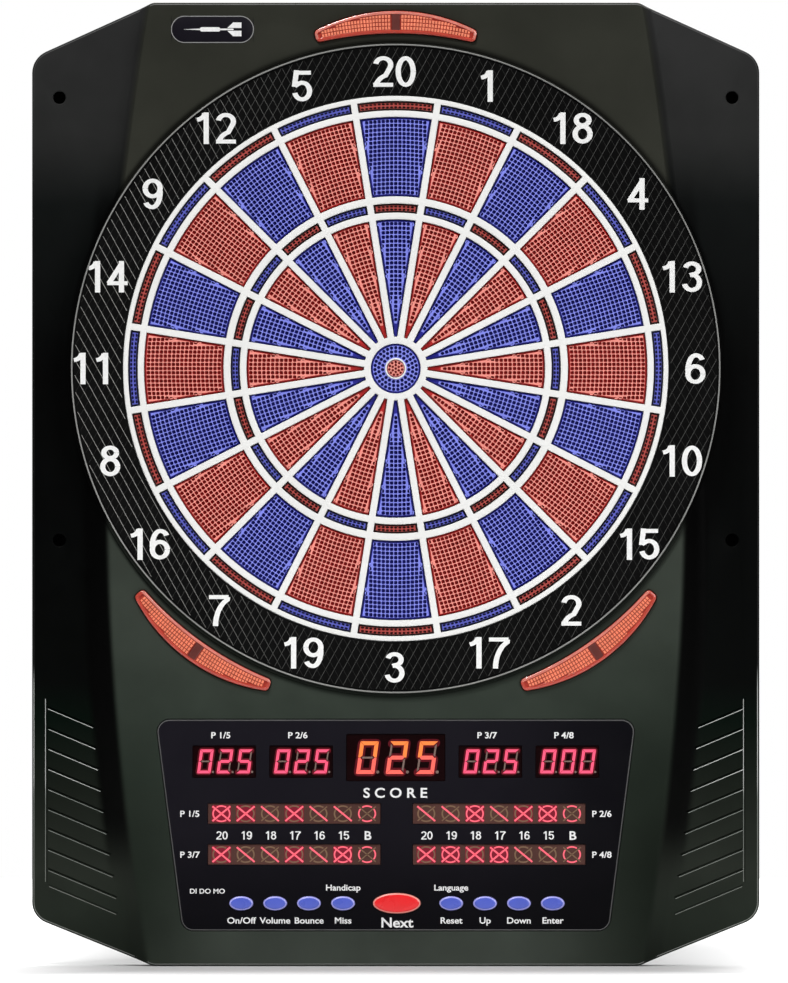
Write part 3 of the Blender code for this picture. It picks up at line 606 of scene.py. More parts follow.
def housing_look():
    """Black-grey textured plastic whose tone is painted light and shade: olive above, greener and lighter
    below, with painted shade deepest in the wings' middle, on the slopes, in the lower corners and beside the
    drum.
    """
    look = moulded("housing_plastic_grained", (0.03, 0.031, 0.026), 0.55, grain=0.5, height=0.035)
    look.set("Specular IOR Level", 0.04)
    x, z = look.compute("ABSOLUTE", look.axis("X")), look.axis("Z")
    share = look.compute("DIVIDE", look.compute("SUBTRACT", z, PANEL_MIDDLE * MM), (TOP - PANEL_MIDDLE) * MM)
    taper = (PANEL_END_HALF_WIDTH - PANEL_HALF_WIDTH) * MM
    square = look.compute("MULTIPLY", share, share)
    edge = look.compute("MULTIPLY_ADD", square, taper, PANEL_HALF_WIDTH * MM)
    outside = look.rise(look.compute("SUBTRACT", x, edge), -1, 4)
    # Painted light and shade: the panel's tone changes with height, lightest and greenest at the bottom.
    panel = look.stages(z, [
        (BOTTOM, (0.052, 0.061, 0.051)),
        (-345, (0.038, 0.047, 0.038)),
        (-260, (0.031, 0.041, 0.032)),
        (-120, (0.039, 0.047, 0.038)),
        (60, (0.031, 0.032, 0.025)),
        (TOP, (0.028, 0.029, 0.0225)),
    ])
    # Painted shade in the panel's lower corners and, more softly, at its lower right.
    corner = look.compute("MULTIPLY", look.rise(x, 80, 180), look.rise(z, -160, -330))
    panel = look.blend("MULTIPLY", corner, panel, (0.36, 0.4, 0.36))
    low_right_shade = look.compute("MULTIPLY", look.rise(look.axis("X"), 60, 200), look.rise(z, -120, -300))
    panel = look.blend("MULTIPLY", low_right_shade, panel, (0.5, 0.52, 0.49))
    # Painted shade: the wings near black at middle heights, lighter towards the top and the bottom.
    wings = look.stages(z, [
        (BOTTOM, (0.009, 0.012, 0.0087)),
        (-345, (0.016, 0.0205, 0.0155)),
        (-320, (0.019, 0.0228, 0.0178)),
        (-270, (0.008, 0.0104, 0.0076)),
        (-225, (0.0008, 0.0034, 0.0018)),
        (-200, (0.0006, 0.001, 0.0008)),
        (0, (0.0008, 0.0009, 0.0009)),
        (105, (0.005, 0.006, 0.0058)),
        (150, (0.021, 0.0215, 0.021)),
        (TOP, (0.028, 0.0282, 0.0282)),
    ])
    colour = look.blend("MIX", outside, panel, wings)
    # Painted shade on the slopes beside the panel, except near the top and the bottom.
    past_edge = look.compute("SUBTRACT", x, edge)
    on_slope = look.compute("SUBTRACT", look.rise(past_edge, -1, 4), look.rise(past_edge, 14, 20))
    in_shade = look.compute("MULTIPLY", on_slope, look.rise(z, -335, -285))
    low_share = look.compute("SUBTRACT", 1, look.rise(z, 60, 140))
    in_shade = look.compute("MULTIPLY", in_shade, low_share)
    colour = look.blend("MULTIPLY", in_shade, colour, (0.06, 0.06, 0.06))
    # Painted shadow in a narrow band just outside the drum.
    off_drum = look.rise(look.length(x, z), DRUM_RADIUS - 0.5, DRUM_RADIUS + 3)
    drum_shadow = look.compute("SUBTRACT", 1, off_drum)
    colour = look.blend("MULTIPLY", drum_shadow, colour, (0.3, 0.3, 0.3))
    clouds = look.stages(look.noise(38, 4), [(300, (0.86, 0.86, 0.86)), (700, (1.1, 1.1, 1.1))])
    colour = look.blend("MULTIPLY", 1.0, colour, clouds)
    look.join(colour, look.shader.inputs["Base Color"])
    return look.material


def ridge_look(name, left, right):
    """Polished ridges with a painted highlight: their tone changes from the ring's left towards its middle,
    lighter on one side.
    """
    look = Shader(name, right, 0.3)
    look.set("Specular IOR Level", 0.1)
    look.join(look.stages(look.axis("X"), [(-165, left), (-60, right)]), look.shader.inputs["Base Color"])
    return look.material


def plate_look(name):
    """The control panel's glossy film: bluish black, with painted shade that darkens it towards its lower
    edge and its right end.
    """
    look = Shader(name, (0.0095, 0.0085, 0.0125), 0.3)
    look.set("Specular IOR Level", 0.08)
    # Painted shade towards the lower edge, then towards the right end.
    film = look.stages(look.axis("Z"), [
        (-360, (0.0018, 0.0016, 0.003)),
        (-335, (0.0035, 0.003, 0.005)),
        (-295, (0.008, 0.007, 0.0105)),
        (-230, (0.0095, 0.0085, 0.0125)),
    ])
    film = look.blend("MULTIPLY", look.rise(look.axis("X"), 40, 150), film, (0.4, 0.42, 0.42))
    look.join(film, look.shader.inputs["Base Color"])
    look.spread(look.noise(26, 5), 0.3, 0.4, "Roughness")
    look.bump(look.noise(30, 1), 0.02)
    return look.material


def gloss_look(name, colour, roughness=0.12, coat=0.4):
    """Polished plastic with very faint waviness and fingermark haze."""
    look = Shader(name, colour, roughness)
    look.set("Specular IOR Level", 0.6 * coat + 0.05)
    look.tint(look.noise(60, 3), colour, tuple(value * 1.25 for value in colour))
    look.spread(look.noise(26, 5), roughness, roughness + 0.1, "Roughness")
    look.bump(look.noise(30, 1), 0.02)
    look.set("Coat Weight", coat)
    look.set("Coat Roughness", 0.08)
    return look.material


def edge_look(name, stages):
    """A shiny edge with a painted highlight, lighter or darker along the object's height."""
    look = Shader(name, stages[0][1], 0.35)
    look.join(look.stages(look.axis("Z"), stages), look.shader.inputs["Base Color"])
    look.spread(look.noise(26, 5), 0.3, 0.4, "Roughness")
    look.set("Specular IOR Level", 0.2)
    return look.material


def pad_look(name, colour):
    """Semi-gloss nylon of the target's pads, with small nicks from darts."""
    look = Shader(name, colour, 0.38)
    look.tint(look.noise(14, 5), tuple(value * 0.88 for value in colour), colour)
    look.spread(look.noise(5, 5), 0.32, 0.48, "Roughness")
    look.bump(look.noise(0.45, 3), 0.02)
    return look.material


def pit_look(name, colour):
    """The inside of a perforation: dull, and darker than the pad as painted shade."""
    look = Shader(name, colour, 0.7)
    look.tint(look.noise(4, 2), tuple(value * 0.8 for value in colour), colour)
    return look.material


def lens_look(name, colour, roughness, depth=0.0):
    """Clear orange-red acrylic; depth is how much light wanders below its surface."""
    look = Shader(name, colour, roughness)
    look.tint(look.noise(9, 3), tuple(value * 0.85 for value in colour), colour)
    look.spread(look.noise(3, 3), roughness, roughness + 0.08, "Roughness")
    look.set("Subsurface Weight", depth)
    look.set("Subsurface Radius", (0.002, 0.0006, 0.0004))
    look.set("Coat Weight", 0.5)
    look.set("Coat Roughness", 0.06)
    return look.material


def glow_look(name, colour, light, strength):
    """A display bar: a diffuse plastic face over a light source."""
    look = Shader(name, colour, 0.3)
    look.tint(look.noise(3, 2), tuple(value * 0.9 for value in colour), colour)
    look.set("Emission Color", (*light, 1))
    look.set("Emission Strength", strength)
    return look.material


def board_look():
    """Green solder mask with faint copper tracks under it."""
    look = Shader("circuit_board_masked", (0.02, 0.13, 0.05), 0.35)
    look.tint(look.noise(5, 1, stretch=(1, 1, 6)), (0.012, 0.09, 0.035), (0.03, 0.18, 0.07))
    look.bump(look.noise(2, 1, stretch=(1, 1, 5)), 0.03)
    look.set("Coat Weight", 0.5)
    return look.material


def fibre_look(name, dark, light, size, stretch=(1, 1, 1), roughness=0.8, height=0.05):
    """A fibrous or rubbery sheet: streaks of two tones with matching relief."""
    look = Shader(name, light, roughness)
    look.tint(look.noise(size, 6, stretch), dark, light)
    look.bump(look.noise(size / 3, 4, stretch), height)
    return look.material


def metal_look(name, colour, roughness):
    """Plated steel with fine turning marks and uneven gloss."""
    look = Shader(name, colour, roughness, metallic=1.0)
    look.tint(look.noise(2, 3), tuple(value * 0.8 for value in colour), colour)
    look.spread(look.noise(1, 4), roughness - 0.08, roughness + 0.1, "Roughness")
    return look.material


def printed_look(name, colour):
    """Screen-printed ink, with the slight unevenness of its edge and cover."""
    look = Shader(name, colour, 0.45)
    look.tint(look.noise(1.5, 3), tuple(value * 0.9 for value in colour), colour)
    return look.material


HOUSING = housing_look()
COVER = moulded("cover_plastic_grained", (0.022, 0.022, 0.022), 0.6, grain=0.8, height=0.05).material
# Painted highlight: a light grey, glossy lip on the drum's crest.
LIP = gloss_look("drum_lip_gloss_and_painted_highlight", (0.25, 0.25, 0.24), 0.2)
# Painted highlight for the louvres' edges and the outline's bead, brightest where the louvres are.
EDGE_HIGHLIGHT = edge_look("housing_edge_painted_highlight", [
    (BOTTOM, (0.32, 0.32, 0.31)),
    (-350, (0.2, 0.21, 0.19)),
    (-275, (0.22, 0.24, 0.22)),
    (-262, (0.6, 0.61, 0.59)),
    (-205, (0.5, 0.52, 0.5)),
    (-190, (0.01, 0.01, 0.01)),
    (100, (0.006, 0.006, 0.006)),
    (190, (0.06, 0.06, 0.06)),
    (TOP, (0.1, 0.1, 0.1)),
])
RING = gloss_look("ring_plastic_polished", (0.0032, 0.0032, 0.0032), 0.3, 0.05)
# Painted highlights on the ring's ridges: rising ones lighter towards the middle, falling ones lighter at the
# left.
RIDGE_RISING = ridge_look("ring_ridges_rising", (0.018, 0.018, 0.017), (0.085, 0.085, 0.082))
RIDGE_FALLING = ridge_look("ring_ridges_falling", (0.4, 0.4, 0.38), (0.02, 0.02, 0.019))
GRILLE = moulded("grille_white_satin", (0.9, 0.9, 0.88), 0.32, height=0.008, wear=0.02).material
PAD_BLUE = pad_look("segment_blue_nylon", (0.24, 0.27, 0.92))
PAD_RED = pad_look("segment_red_nylon", (1.0, 0.32, 0.265))
# Painted shade: pit colours for the holes and the pads' slanted edges, darker than the faces.
PIT_BLUE = pit_look("segment_blue_pits", (0.004, 0.004, 0.28))
PIT_RED = pit_look("segment_red_pits", (0.48, 0.003, 0.003))
# Painted shade: darker copies of the pad and pit colours for the doubles and trebles.
SCORING_BLUE = pad_look("segment_blue_nylon_shaded", (0.11, 0.12, 0.55))
SCORING_RED = pad_look("segment_red_nylon_shaded", (0.44, 0.065, 0.055))
SCORING_PIT_BLUE = pit_look("segment_blue_pits_shaded", (0.002, 0.002, 0.06))
SCORING_PIT_RED = pit_look("segment_red_pits_shaded", (0.04, 0.001, 0.001))
NUMERAL = printed_look("numeral_white_ink", (0.95, 0.95, 0.94))
GLOSS = plate_look("panel_gloss_film")
# Painted highlight: a grey bead around the control panel's plate.
BEAD = gloss_look("panel_rim_bead_painted_highlight", (0.12, 0.12, 0.12), 0.25)
INK = printed_look("panel_label_ink", (0.9, 0.9, 0.9))
BADGE_LINE = printed_look("badge_line_ink", (0.28, 0.28, 0.28))
LENS = lens_look("lens_orange_ribbed", (1.0, 0.28, 0.16), 0.3)
LENS_DEEP = lens_look("lens_red_deep", (0.42, 0.035, 0.02), 0.3)
LENS_RIM = lens_look("lens_orange_rim", (0.58, 0.075, 0.05), 0.2, 0.3)
# Painted highlight on the side of a lens's rim that faces up.
LENS_PALE = lens_look("lens_rim_painted_highlight", (0.75, 0.24, 0.19), 0.15, 0.3)
LENS_BAR = lens_look("lens_divider_dark", (0.14, 0.032, 0.026), 0.3)
WINDOW = gloss_look("display_red_window", (0.006, 0.0006, 0.001), 0.3, 0.04)
BAR_WINDOW = gloss_look("cricket_red_window", (0.08, 0.036, 0.03), 0.3, 0.04)
LIT = glow_look("display_bar_lit", (0.25, 0.03, 0.06), (1.0, 0.1, 0.2), 0.95)
LIT_AMBER = glow_look("display_bar_amber", (0.25, 0.08, 0.02), (1.0, 0.22, 0.05), 0.95)
LIT_MAIN = glow_look("display_bar_coral", (0.25, 0.05, 0.04), (1.0, 0.13, 0.1), 0.95)
HALO = glow_look("display_bar_halo", (0.03, 0.001, 0.003), (0.6, 0.0, 0.03), 0.13)
UNLIT = glow_look("display_bar_unlit", (0.2, 0.14, 0.12), (0.3, 0.1, 0.08), 0.05)
CRICKET_LIT = glow_look("cricket_bar_lit", (0.3, 0.06, 0.08), (1.0, 0.12, 0.17), 0.9)
CRICKET_HALO = glow_look("cricket_cell_lit", (0.1, 0.006, 0.015), (0.6, 0.0, 0.04), 0.2)
CRICKET_UNLIT = glow_look("cricket_bar_unlit", (0.2, 0.12, 0.07), (0.3, 0.12, 0.08), 0.06)
# Button colours; the lighter edge ones are a painted highlight on each button's rounded edge.
BUTTON_BLUE = moulded("button_blue_satin", (0.09, 0.13, 0.62), 0.3, height=0.006).material
BUTTON_BLUE_RIM = moulded("button_blue_edge_painted_highlight", (0.42, 0.42, 0.95), 0.35, height=0.006).material
BUTTON_RED = moulded("button_red_satin", (0.92, 0.022, 0.026), 0.28, height=0.006).material
BUTTON_RED_RIM = moulded("button_red_edge_painted_highlight", (1.0, 0.33, 0.28), 0.35, height=0.006).material
BOARD = board_look()
RUBBER = fibre_look("rubber_sheet_matte", (0.02, 0.02, 0.02), (0.045, 0.045, 0.045), 6)
FILM = fibre_look("switch_film_coated", (0.45, 0.4, 0.27), (0.6, 0.55, 0.4), 9, roughness=0.35)
HARDBOARD = fibre_look("hardboard_pressed", (0.2, 0.11, 0.055), (0.36, 0.22, 0.12), 2.5)
SPEAKER = moulded("speaker_black_frame", (0.03, 0.03, 0.03), 0.5, wear=0.3).material
STEEL = metal_look("screw_steel_plated", (0.6, 0.6, 0.61), 0.3)


# The housing ---------------------------------------------------------------------------------------


def housing_outline():
    """The board's outline as the front shows it."""
    right = [
        (CORNER_HALF_WIDTH, BOTTOM, 8),
        (HALF_WIDTH, HIP, 14),
        (HALF_WIDTH, SHOULDER, 15),
        (CORNER_HALF_WIDTH, TOP, 8),
    ]
    left = [(-x, z, radius) for x, z, radius in reversed(right)]
    return rounded(right + left)


def panel_edge(z):
    """Half the raised panel's width at a height."""
    reach = (z - PANEL_MIDDLE) / (TOP - PANEL_MIDDLE)
    return PANEL_HALF_WIDTH - (PANEL_HALF_WIDTH - PANEL_END_HALF_WIDTH) * reach**2


def slope_width(z):
    """Width of the slope between the panel and the wing, which widens downwards."""
    return np.interp(-z, [-height for height in SLOPE_HEIGHTS], SLOPE_WIDTHS)


def soft_ramp(share):
    """From 0 to 1 along a share of the slope, with both ends eased into the flats."""
    crest, foot = CREST_SOFTNESS, FOOT_SOFTNESS
    low = np.clip(share + crest, 0, 2 * crest) ** 2 / (4 * crest)
    high = np.clip(1 + foot - share, 0, 2 * foot) ** 2 / (4 * foot)
    return np.where(share < crest, low, np.where(share > 1 - foot, 1 - high, share))


def base_depth(x, z):
    """Depth of the panel, slopes and wings, before edges and openings."""
    along = (np.abs(x) - WING_INNER[0]) / (WING_OUTER[0] - WING_INNER[0])
    wing = WING_INNER[1] + (WING_OUTER[1] - WING_INNER[1]) * along
    share = (np.abs(x) - panel_edge(z)) / slope_width(z)
    return PANEL_FRONT + (wing - PANEL_FRONT) * soft_ramp(share)


def distance_to(points, outline):
    """Distance from each of the (n, 2) points to a closed outline."""
    start = np.array(outline, float)
    edge = np.roll(start, -1, axis=0) - start
    nearest = np.full(len(points), np.inf)
    for corner, step in zip(start, edge):
        share = np.clip((points - corner) @ step / (step @ step), 0, 1)
        gap = points - corner - share[:, None] * step
        nearest = np.minimum(nearest, np.hypot(gap[:, 0], gap[:, 1]))
    return nearest


def fillet_offsets(radius, steps=4):
    """Distances in from an edge at which a rounded edge of that radius has its lines."""
    return [radius * (1 - math.cos(math.pi / 2 * step / steps)) for step in range(steps + 1)]


def fillet_drop(distance, radius):
    """How far a rounded edge falls below the face at a distance in from it."""
    inwards = np.clip(radius - distance, 0, radius)
    return radius - np.sqrt(radius**2 - inwards**2)


# The drum's crest from its bore outwards: (radius, depth), with a lip, a groove and an outer bead.
CREST = [
    (DRUM_BORE, DRUM_FRONT - 0.3),
    (DRUM_BORE + 0.2, DRUM_FRONT - 0.05),
    (DRUM_BORE + 0.4, DRUM_FRONT),
    (DRUM_BORE + 0.9, DRUM_FRONT),
    (DRUM_BORE + 1.1, DRUM_FRONT - 0.2),
    (DRUM_BORE + 1.3, DRUM_FRONT - 1.0),
    (DRUM_BORE + 2.3, DRUM_FRONT - 1.1),
    (DRUM_BORE + 2.5, DRUM_FRONT - 0.7),
    (DRUM_BORE + 2.7, DRUM_FRONT - 0.7),
    (DRUM_BORE + 2.9, DRUM_FRONT - 1.4),
]
LIP_WIDTH = 0.75


class Groove:
    """A straight V-groove in the housing's face, from start to end, with a steep upper side."""

    def __init__(self, start, end, above, below, depth):
        self.start = Vector(start)
        self.end = Vector(end)
        self.along = (self.end - self.start).normalized()
        self.up = left_of(self.along)
        if self.up.y < 0:
            self.up = -self.up
        self.above, self.below, self.depth = above, below, depth

    def lines(self):
        """Its edge loop and its bottom line."""
        taper = self.along * self.below
        low, high = self.up * -self.below, self.up * self.above
        loop = [self.start, self.start + taper + low, self.end - taper + low]
        loop += [self.end, self.end - taper + high, self.start + taper + high]
        bottom = [self.start + taper, self.end - taper]
        return [tuple(point) for point in loop + loop[:1]], [tuple(point) for point in bottom]

    def drop(self, points):
        """How far the face falls in the groove at each of the (n, 2) points."""
        offset = points - np.array(self.start)
        along = offset @ np.array(self.along)
        up = offset @ np.array(self.up)
        length = (self.end - self.start).length
        run_in = np.clip(np.minimum(along, length - along) / self.below, 0, 1)
        half = np.where(up > 0, self.above, self.below) * run_in
        share = 1 - np.abs(up) / np.maximum(half, 1e-6)
        return self.depth * run_in * np.clip(share, 0, 1) * (run_in > 0)


def louvre_inner_x(outer_z):
    """Where a louvre that starts at outer_z ends beside the slope."""
    low_z = outer_z - LOUVRE_PITCH
    return panel_edge(low_z) + float(slope_width(low_z)) + 1


def louvre_grooves():
    """The slanted grooves of both wings, each field with a thin border on two sides."""
    wide = {"above": 0.5, "below": 0.9, "depth": 1.2}
    thin = {"above": 0.5, "below": 0.5, "depth": 0.5}
    end_gap, corner_gap = 1.2, 1
    border_gap, border_above, border_below = 0.7, 6, 2.2
    grooves = []
    for side in (1, -1):
        for number in range(LOUVRES):
            outer_z = LOUVRE_FIRST - LOUVRE_PITCH * number
            inner_x = louvre_inner_x(outer_z)
            inner_z = outer_z - (LOUVRE_OUTER_X - inner_x) * LOUVRE_FALL
            start = side * (LOUVRE_OUTER_X - end_gap), outer_z
            grooves.append(Groove(start, (side * inner_x, inner_z), **wide))
        last_z = LOUVRE_FIRST - LOUVRE_PITCH * (LOUVRES - 1)
        border_x = LOUVRE_OUTER_X - border_gap
        top_z = LOUVRE_FIRST + border_above
        corner_z = last_z - LOUVRE_PITCH + border_below
        inner_x = louvre_inner_x(last_z)
        inner_z = corner_z - (border_x - inner_x) * LOUVRE_FALL
        upright_ends = (side * border_x, top_z), (side * border_x, corner_z + corner_gap)
        slanted_ends = (side * (border_x - corner_gap), corner_z), (side * inner_x, inner_z)
        grooves += [Groove(*upright_ends, **thin), Groove(*slanted_ends, **thin)]
    return grooves


def make_louvre_edges():
    """The thin raised edge along the lower side of every louvre, coloured with a painted highlight."""
    half, height, steps = 0.3, 0.22, 12
    skin = Skin()
    for groove in louvre_grooves():
        shift = groove.up * -(groove.below + half)
        start, end = groove.start + groove.along + shift, groove.end - groove.along + shift
        sections = []
        for step in range(steps + 1):
            place = start + (end - start) * step / steps
            section = []
            for offset, rise in ((half, -0.1), (0, height), (-half, -0.1)):
                point = place + groove.up * offset
                section.append((point.x, float(base_depth(point.x, point.y)) + rise, point.y))
            sections.append(section)
        skin.tube(sections if groove.along.cross(groove.up) > 0 else sections[::-1])
    dress(skin.build("louvre_edges", [EDGE_HIGHLIGHT]), "housing", "housing_plastic")


def plate_outline():
    """The control panel plate's visible outline, narrower at the bottom."""
    low, high = PLATE_LOW + PLATE_LIP, PLATE_HIGH - PLATE_LIP
    corners = [
        (PLATE_BOTTOM_HALF_WIDTH, low, PLATE_CORNER),
        (PLATE_TOP_HALF_WIDTH, high, PLATE_CORNER),
        (-PLATE_TOP_HALF_WIDTH, high, PLATE_CORNER),
        (-PLATE_BOTTOM_HALF_WIDTH, low, PLATE_CORNER),
    ]
    return rounded(corners)


def lens_outer_radius(angle):
    """Radius of a lens's outer arc at an angle from its middle."""
    across = LENS_ARC_CENTRE * math.sin(angle)
    return LENS_ARC_CENTRE * math.cos(angle) + math.sqrt(LENS_ARC_RADIUS**2 - across**2)


def lens_outline(grow=0):
    """A crescent above the bull between two arcs, with rounded tips."""
    steps = 24
    shares = [1 - 2 * step / steps for step in range(steps + 1)]
    angles = [LENS_HALF_ANGLE * share for share in shares]
    outer_arc = [polar(lens_outer_radius(angle), angle) for angle in angles]
    inner_arc = [polar(LENS_INNER_RADIUS, -angle) for angle in angles]
    corners = []
    for arc in (outer_arc, inner_arc):
        radii = [LENS_TIP] + [0] * (steps - 1) + [LENS_TIP]
        corners += [(x, z, radius) for (x, z), radius in zip(arc, radii)]
    return inset(rounded(corners, steps=5), -grow)


def make_housing():
    """The moulded shell: one thick relief with every edge rounded, its tubes, posts and jack hole."""
    outline = housing_outline()
    rounded_holes = [(inset(plate_outline(), -GAP), 0.6)]
    rounded_holes += [(swung(lens_outline(GAP), angle), 0.7) for angle in LAMPS.values()]
    rounded_holes += [(circle(WELL_RADIUS, centre, 32), 0.9) for centre in WELLS]
    bore = circle(DRUM_BORE)
    grooves = louvre_grooves()

    line_places = fillet_offsets(HOUSING_EDGE)[1:] + list(BEAD_PLACE) + [HOUSING_WALL, HOUSING_WALL + 0.05]
    lines = []
    for distance in sorted(line_places):
        loop = inset(outline, distance)
        lines.append(loop + loop[:1])
    for hole, radius in rounded_holes:
        for distance in fillet_offsets(radius, 3)[1:]:
            loop = inset(hole, -distance)
            lines.append(loop + loop[:1])
    for radius in [radius for radius, _ in CREST[1:]] + [DRUM_RADIUS]:
        loop = circle(radius)
        lines.append(loop + loop[:1])
    heights = np.linspace(BOTTOM - 2, TOP + 2, 90)
    eased = [step / 2 * CREST_SOFTNESS for step in range(-2, 3)]
    eased += [1 + step / 3 * FOOT_SOFTNESS for step in range(-3, 4)]
    for share in eased:
        reach = [float(panel_edge(z) + share * slope_width(z)) for z in heights]
        for side in (1, -1):
            lines.append([(side * x, float(z)) for x, z in zip(reach, heights)])
    for groove in grooves:
        lines += groove.lines()

    loops = [outline, bore] + [hole for hole, _ in rounded_holes]
    places, triangles = triangulate(loops, lines)
    x, z = places[:, 0], places[:, 1]
    radius = np.hypot(x, z)
    edge_distance = distance_to(places, outline)
    in_drum = radius < DRUM_RADIUS - 0.05
    crest = np.interp(radius, *zip(*CREST))
    face = base_depth(x, z)
    front = np.where(in_drum, crest, face) - fillet_drop(edge_distance, HOUSING_EDGE)
    front += np.interp(edge_distance, BEAD_PLACE, (0, BEAD_HEIGHT, 0))
    for hole, fillet in rounded_holes:
        front -= fillet_drop(distance_to(places, hole), fillet)
    for groove in grooves:
        front -= np.where(in_drum, 0, groove.drop(places))
    hollow = np.where(in_drum, DRUM_BACK, face - HOUSING_WALL)
    back = np.where(edge_distance < HOUSING_WALL + 0.02, 0, hollow)

    skin = Skin()
    skin.relief(places, triangles, front, back)
    for centre in WELLS:
        loops = [circle(WELL_TUBE_RADIUS, centre, 32), circle(WELL_RADIUS + 0.05, centre, 32)]
        skin.prism(loops, HOUSING_WALL + GAP, POST_FRONT)
    for corner in SCREWS:
        centre = node_middle(f"rear_screw_{corner}")
        skin.prism([circle(4.5, centre, 24), circle(1.6, centre, 16)], 4.8, POST_FRONT)
    housing = skin.build("front_housing_shell", [HOUSING])

    jack_x, _ = node_middle("dc_jack")
    jack_hole = Skin()
    jack_hole.solid([(circle(5, steps=40), -5), (circle(5, steps=40), 5)])
    cutter = jack_hole.build("jack_hole_cutter", [HOUSING])
    cutter.rotation_euler = (math.pi / 2, 0, 0)
    cutter.location = (jack_x * MM, -11 * MM, BOTTOM * MM)
    cut = housing.modifiers.new("jack hole", "BOOLEAN")
    cut.object = cutter
    bpy.context.view_layer.update()
    shape = housing.evaluated_get(bpy.context.evaluated_depsgraph_get())
    housing.data = bpy.data.meshes.new_from_object(shape)
    housing.modifiers.clear()
    bpy.data.objects.remove(cutter)
    # Painted highlights: the drum's lip faces take the light grey lip material, and the bead's front faces
    # the edge highlight.
    housing.data.materials.append(LIP)
    housing.data.materials.append(EDGE_HIGHLIGHT)
    faces = housing.data.polygons
    centres = np.array([tuple(face.center) for face in faces]) / MM
    from_edge = distance_to(centres[:, [0, 2]], outline)
    on_bead = (from_edge > BEAD_PLACE[0]) & (from_edge < BEAD_PLACE[1])
    for face, (x, y, z), bead in zip(faces, centres, on_bead):
        if -y > DRUM_FRONT - 0.6 and math.hypot(x, z) < DRUM_BORE + LIP_WIDTH:
            face.material_index = 1
        elif bead and face.normal.y < -0.5:
            face.material_index = 2
    housing.data.set_sharp_from_angle(angle=math.radians(32))
    dress(housing, "housing", "housing_plastic", "front_housing")


def make_badge():
    """A plain badge on the panel: a stadium frame around a little dart."""
    centre = (-117, 216.5)
    face = PANEL_FRONT
    width, height = 52.9, 17.3
    outer = rounded_rectangle(width, height, height / 2 - 0.01, centre, 12)
    skin = Skin()
    skin.prism([outer, inset(outer, 0.55)], face - 0.2, face + 0.4)
    frame_piece = skin.build("badge_frame", [BADGE_LINE])
    dress(frame_piece, "housing", "housing_plastic")
    plate = Skin()
    inner = inset(outer, 0.55)
    plate.solid([(inner, face - 0.2), (inner, face + 0.1), (inset(inner, 0.3), face + 0.25)])
    dress(plate.build("badge_plate", [GLOSS]), "housing", "panel_gloss")
    dart = Skin()
    x, z = centre
    shapes = [
        [(x - 19, z), (x - 8, z - 0.5), (x - 8, z + 0.5)],
        rounded_rectangle(13, 2.8, 1.2, (x - 1.5, z)),
        rounded_rectangle(9, 1.0, 0.4, (x + 9, z)),
        [(x + 9.5, z + 0.9), (x + 18.5, z + 0.9), (x + 18.5, z + 4.4), (x + 13.2, z + 4.4)],
        [(x + 9.5, z - 0.9), (x + 13.2, z - 4.4), (x + 18.5, z - 4.4), (x + 18.5, z - 0.9)],
    ]
    for shape in shapes:
        dart.prism([shape], face + 0.2, face + 0.45)
    dress(dart.build("badge_dart", [INK]), "housing", "panel_gloss")


# The target ----------------------------------------------------------------------------------------


def make_spider():
    """The white grille: ribs with rounded edges on a rear flange with its posts."""
    openings = []
    for index in range(SECTORS):
        angle = 2 * math.pi * index / SECTORS
        openings += [swung(sector(*band, RIB / 2), angle) for band in BANDS.values()]
    openings.append(circle(BULL_HOLE, steps=64))
    rounding = [(0, 0.75), (0.1, 0.3), (0.3, 0.08), (0.6, 0)]
    rim = circle(SPIDER_RADIUS)
    flange = circle(SPIDER_FLANGE)
    post_angles = [math.radians(45 * number + 22.5) for number in range(8)]
    posts = [circle(4, polar(191, angle), 16) for angle in post_angles]
    post_end = 11.3
    skin = Skin()
    skin.cap(flange, SPIDER_BACK, openings + posts, front=False)
    skin.levels([(flange, SPIDER_BACK), (flange, SPIDER_FLANGE_FRONT)])
    skin.cap(flange, SPIDER_FLANGE_FRONT, [rim])
    skin.levels([(rim, SPIDER_FLANGE_FRONT)] + [(inset(rim, d), SPIDER_FRONT - drop) for d, drop in rounding])
    skin.cap(inset(rim, rounding[-1][0]), SPIDER_FRONT, [inset(hole, -rounding[-1][0]) for hole in openings])
    for hole in openings:
        steps = [(hole, SPIDER_BACK)] + [(inset(hole, -d), SPIDER_FRONT - drop) for d, drop in rounding]
        skin.levels(steps, inwards=True)
    for post in posts:
        skin.levels([(post, post_end), (post, SPIDER_BACK)])
        skin.cap(post, post_end, front=False)
    dress(skin.build("spider_grille", [GRILLE]), "housing", "grille_white", "spider")


def is_narrow(inner, outer):
    """Whether a zone is one of the narrow ones, a double or a treble."""
    return outer - inner < 4 * ROW_PITCH


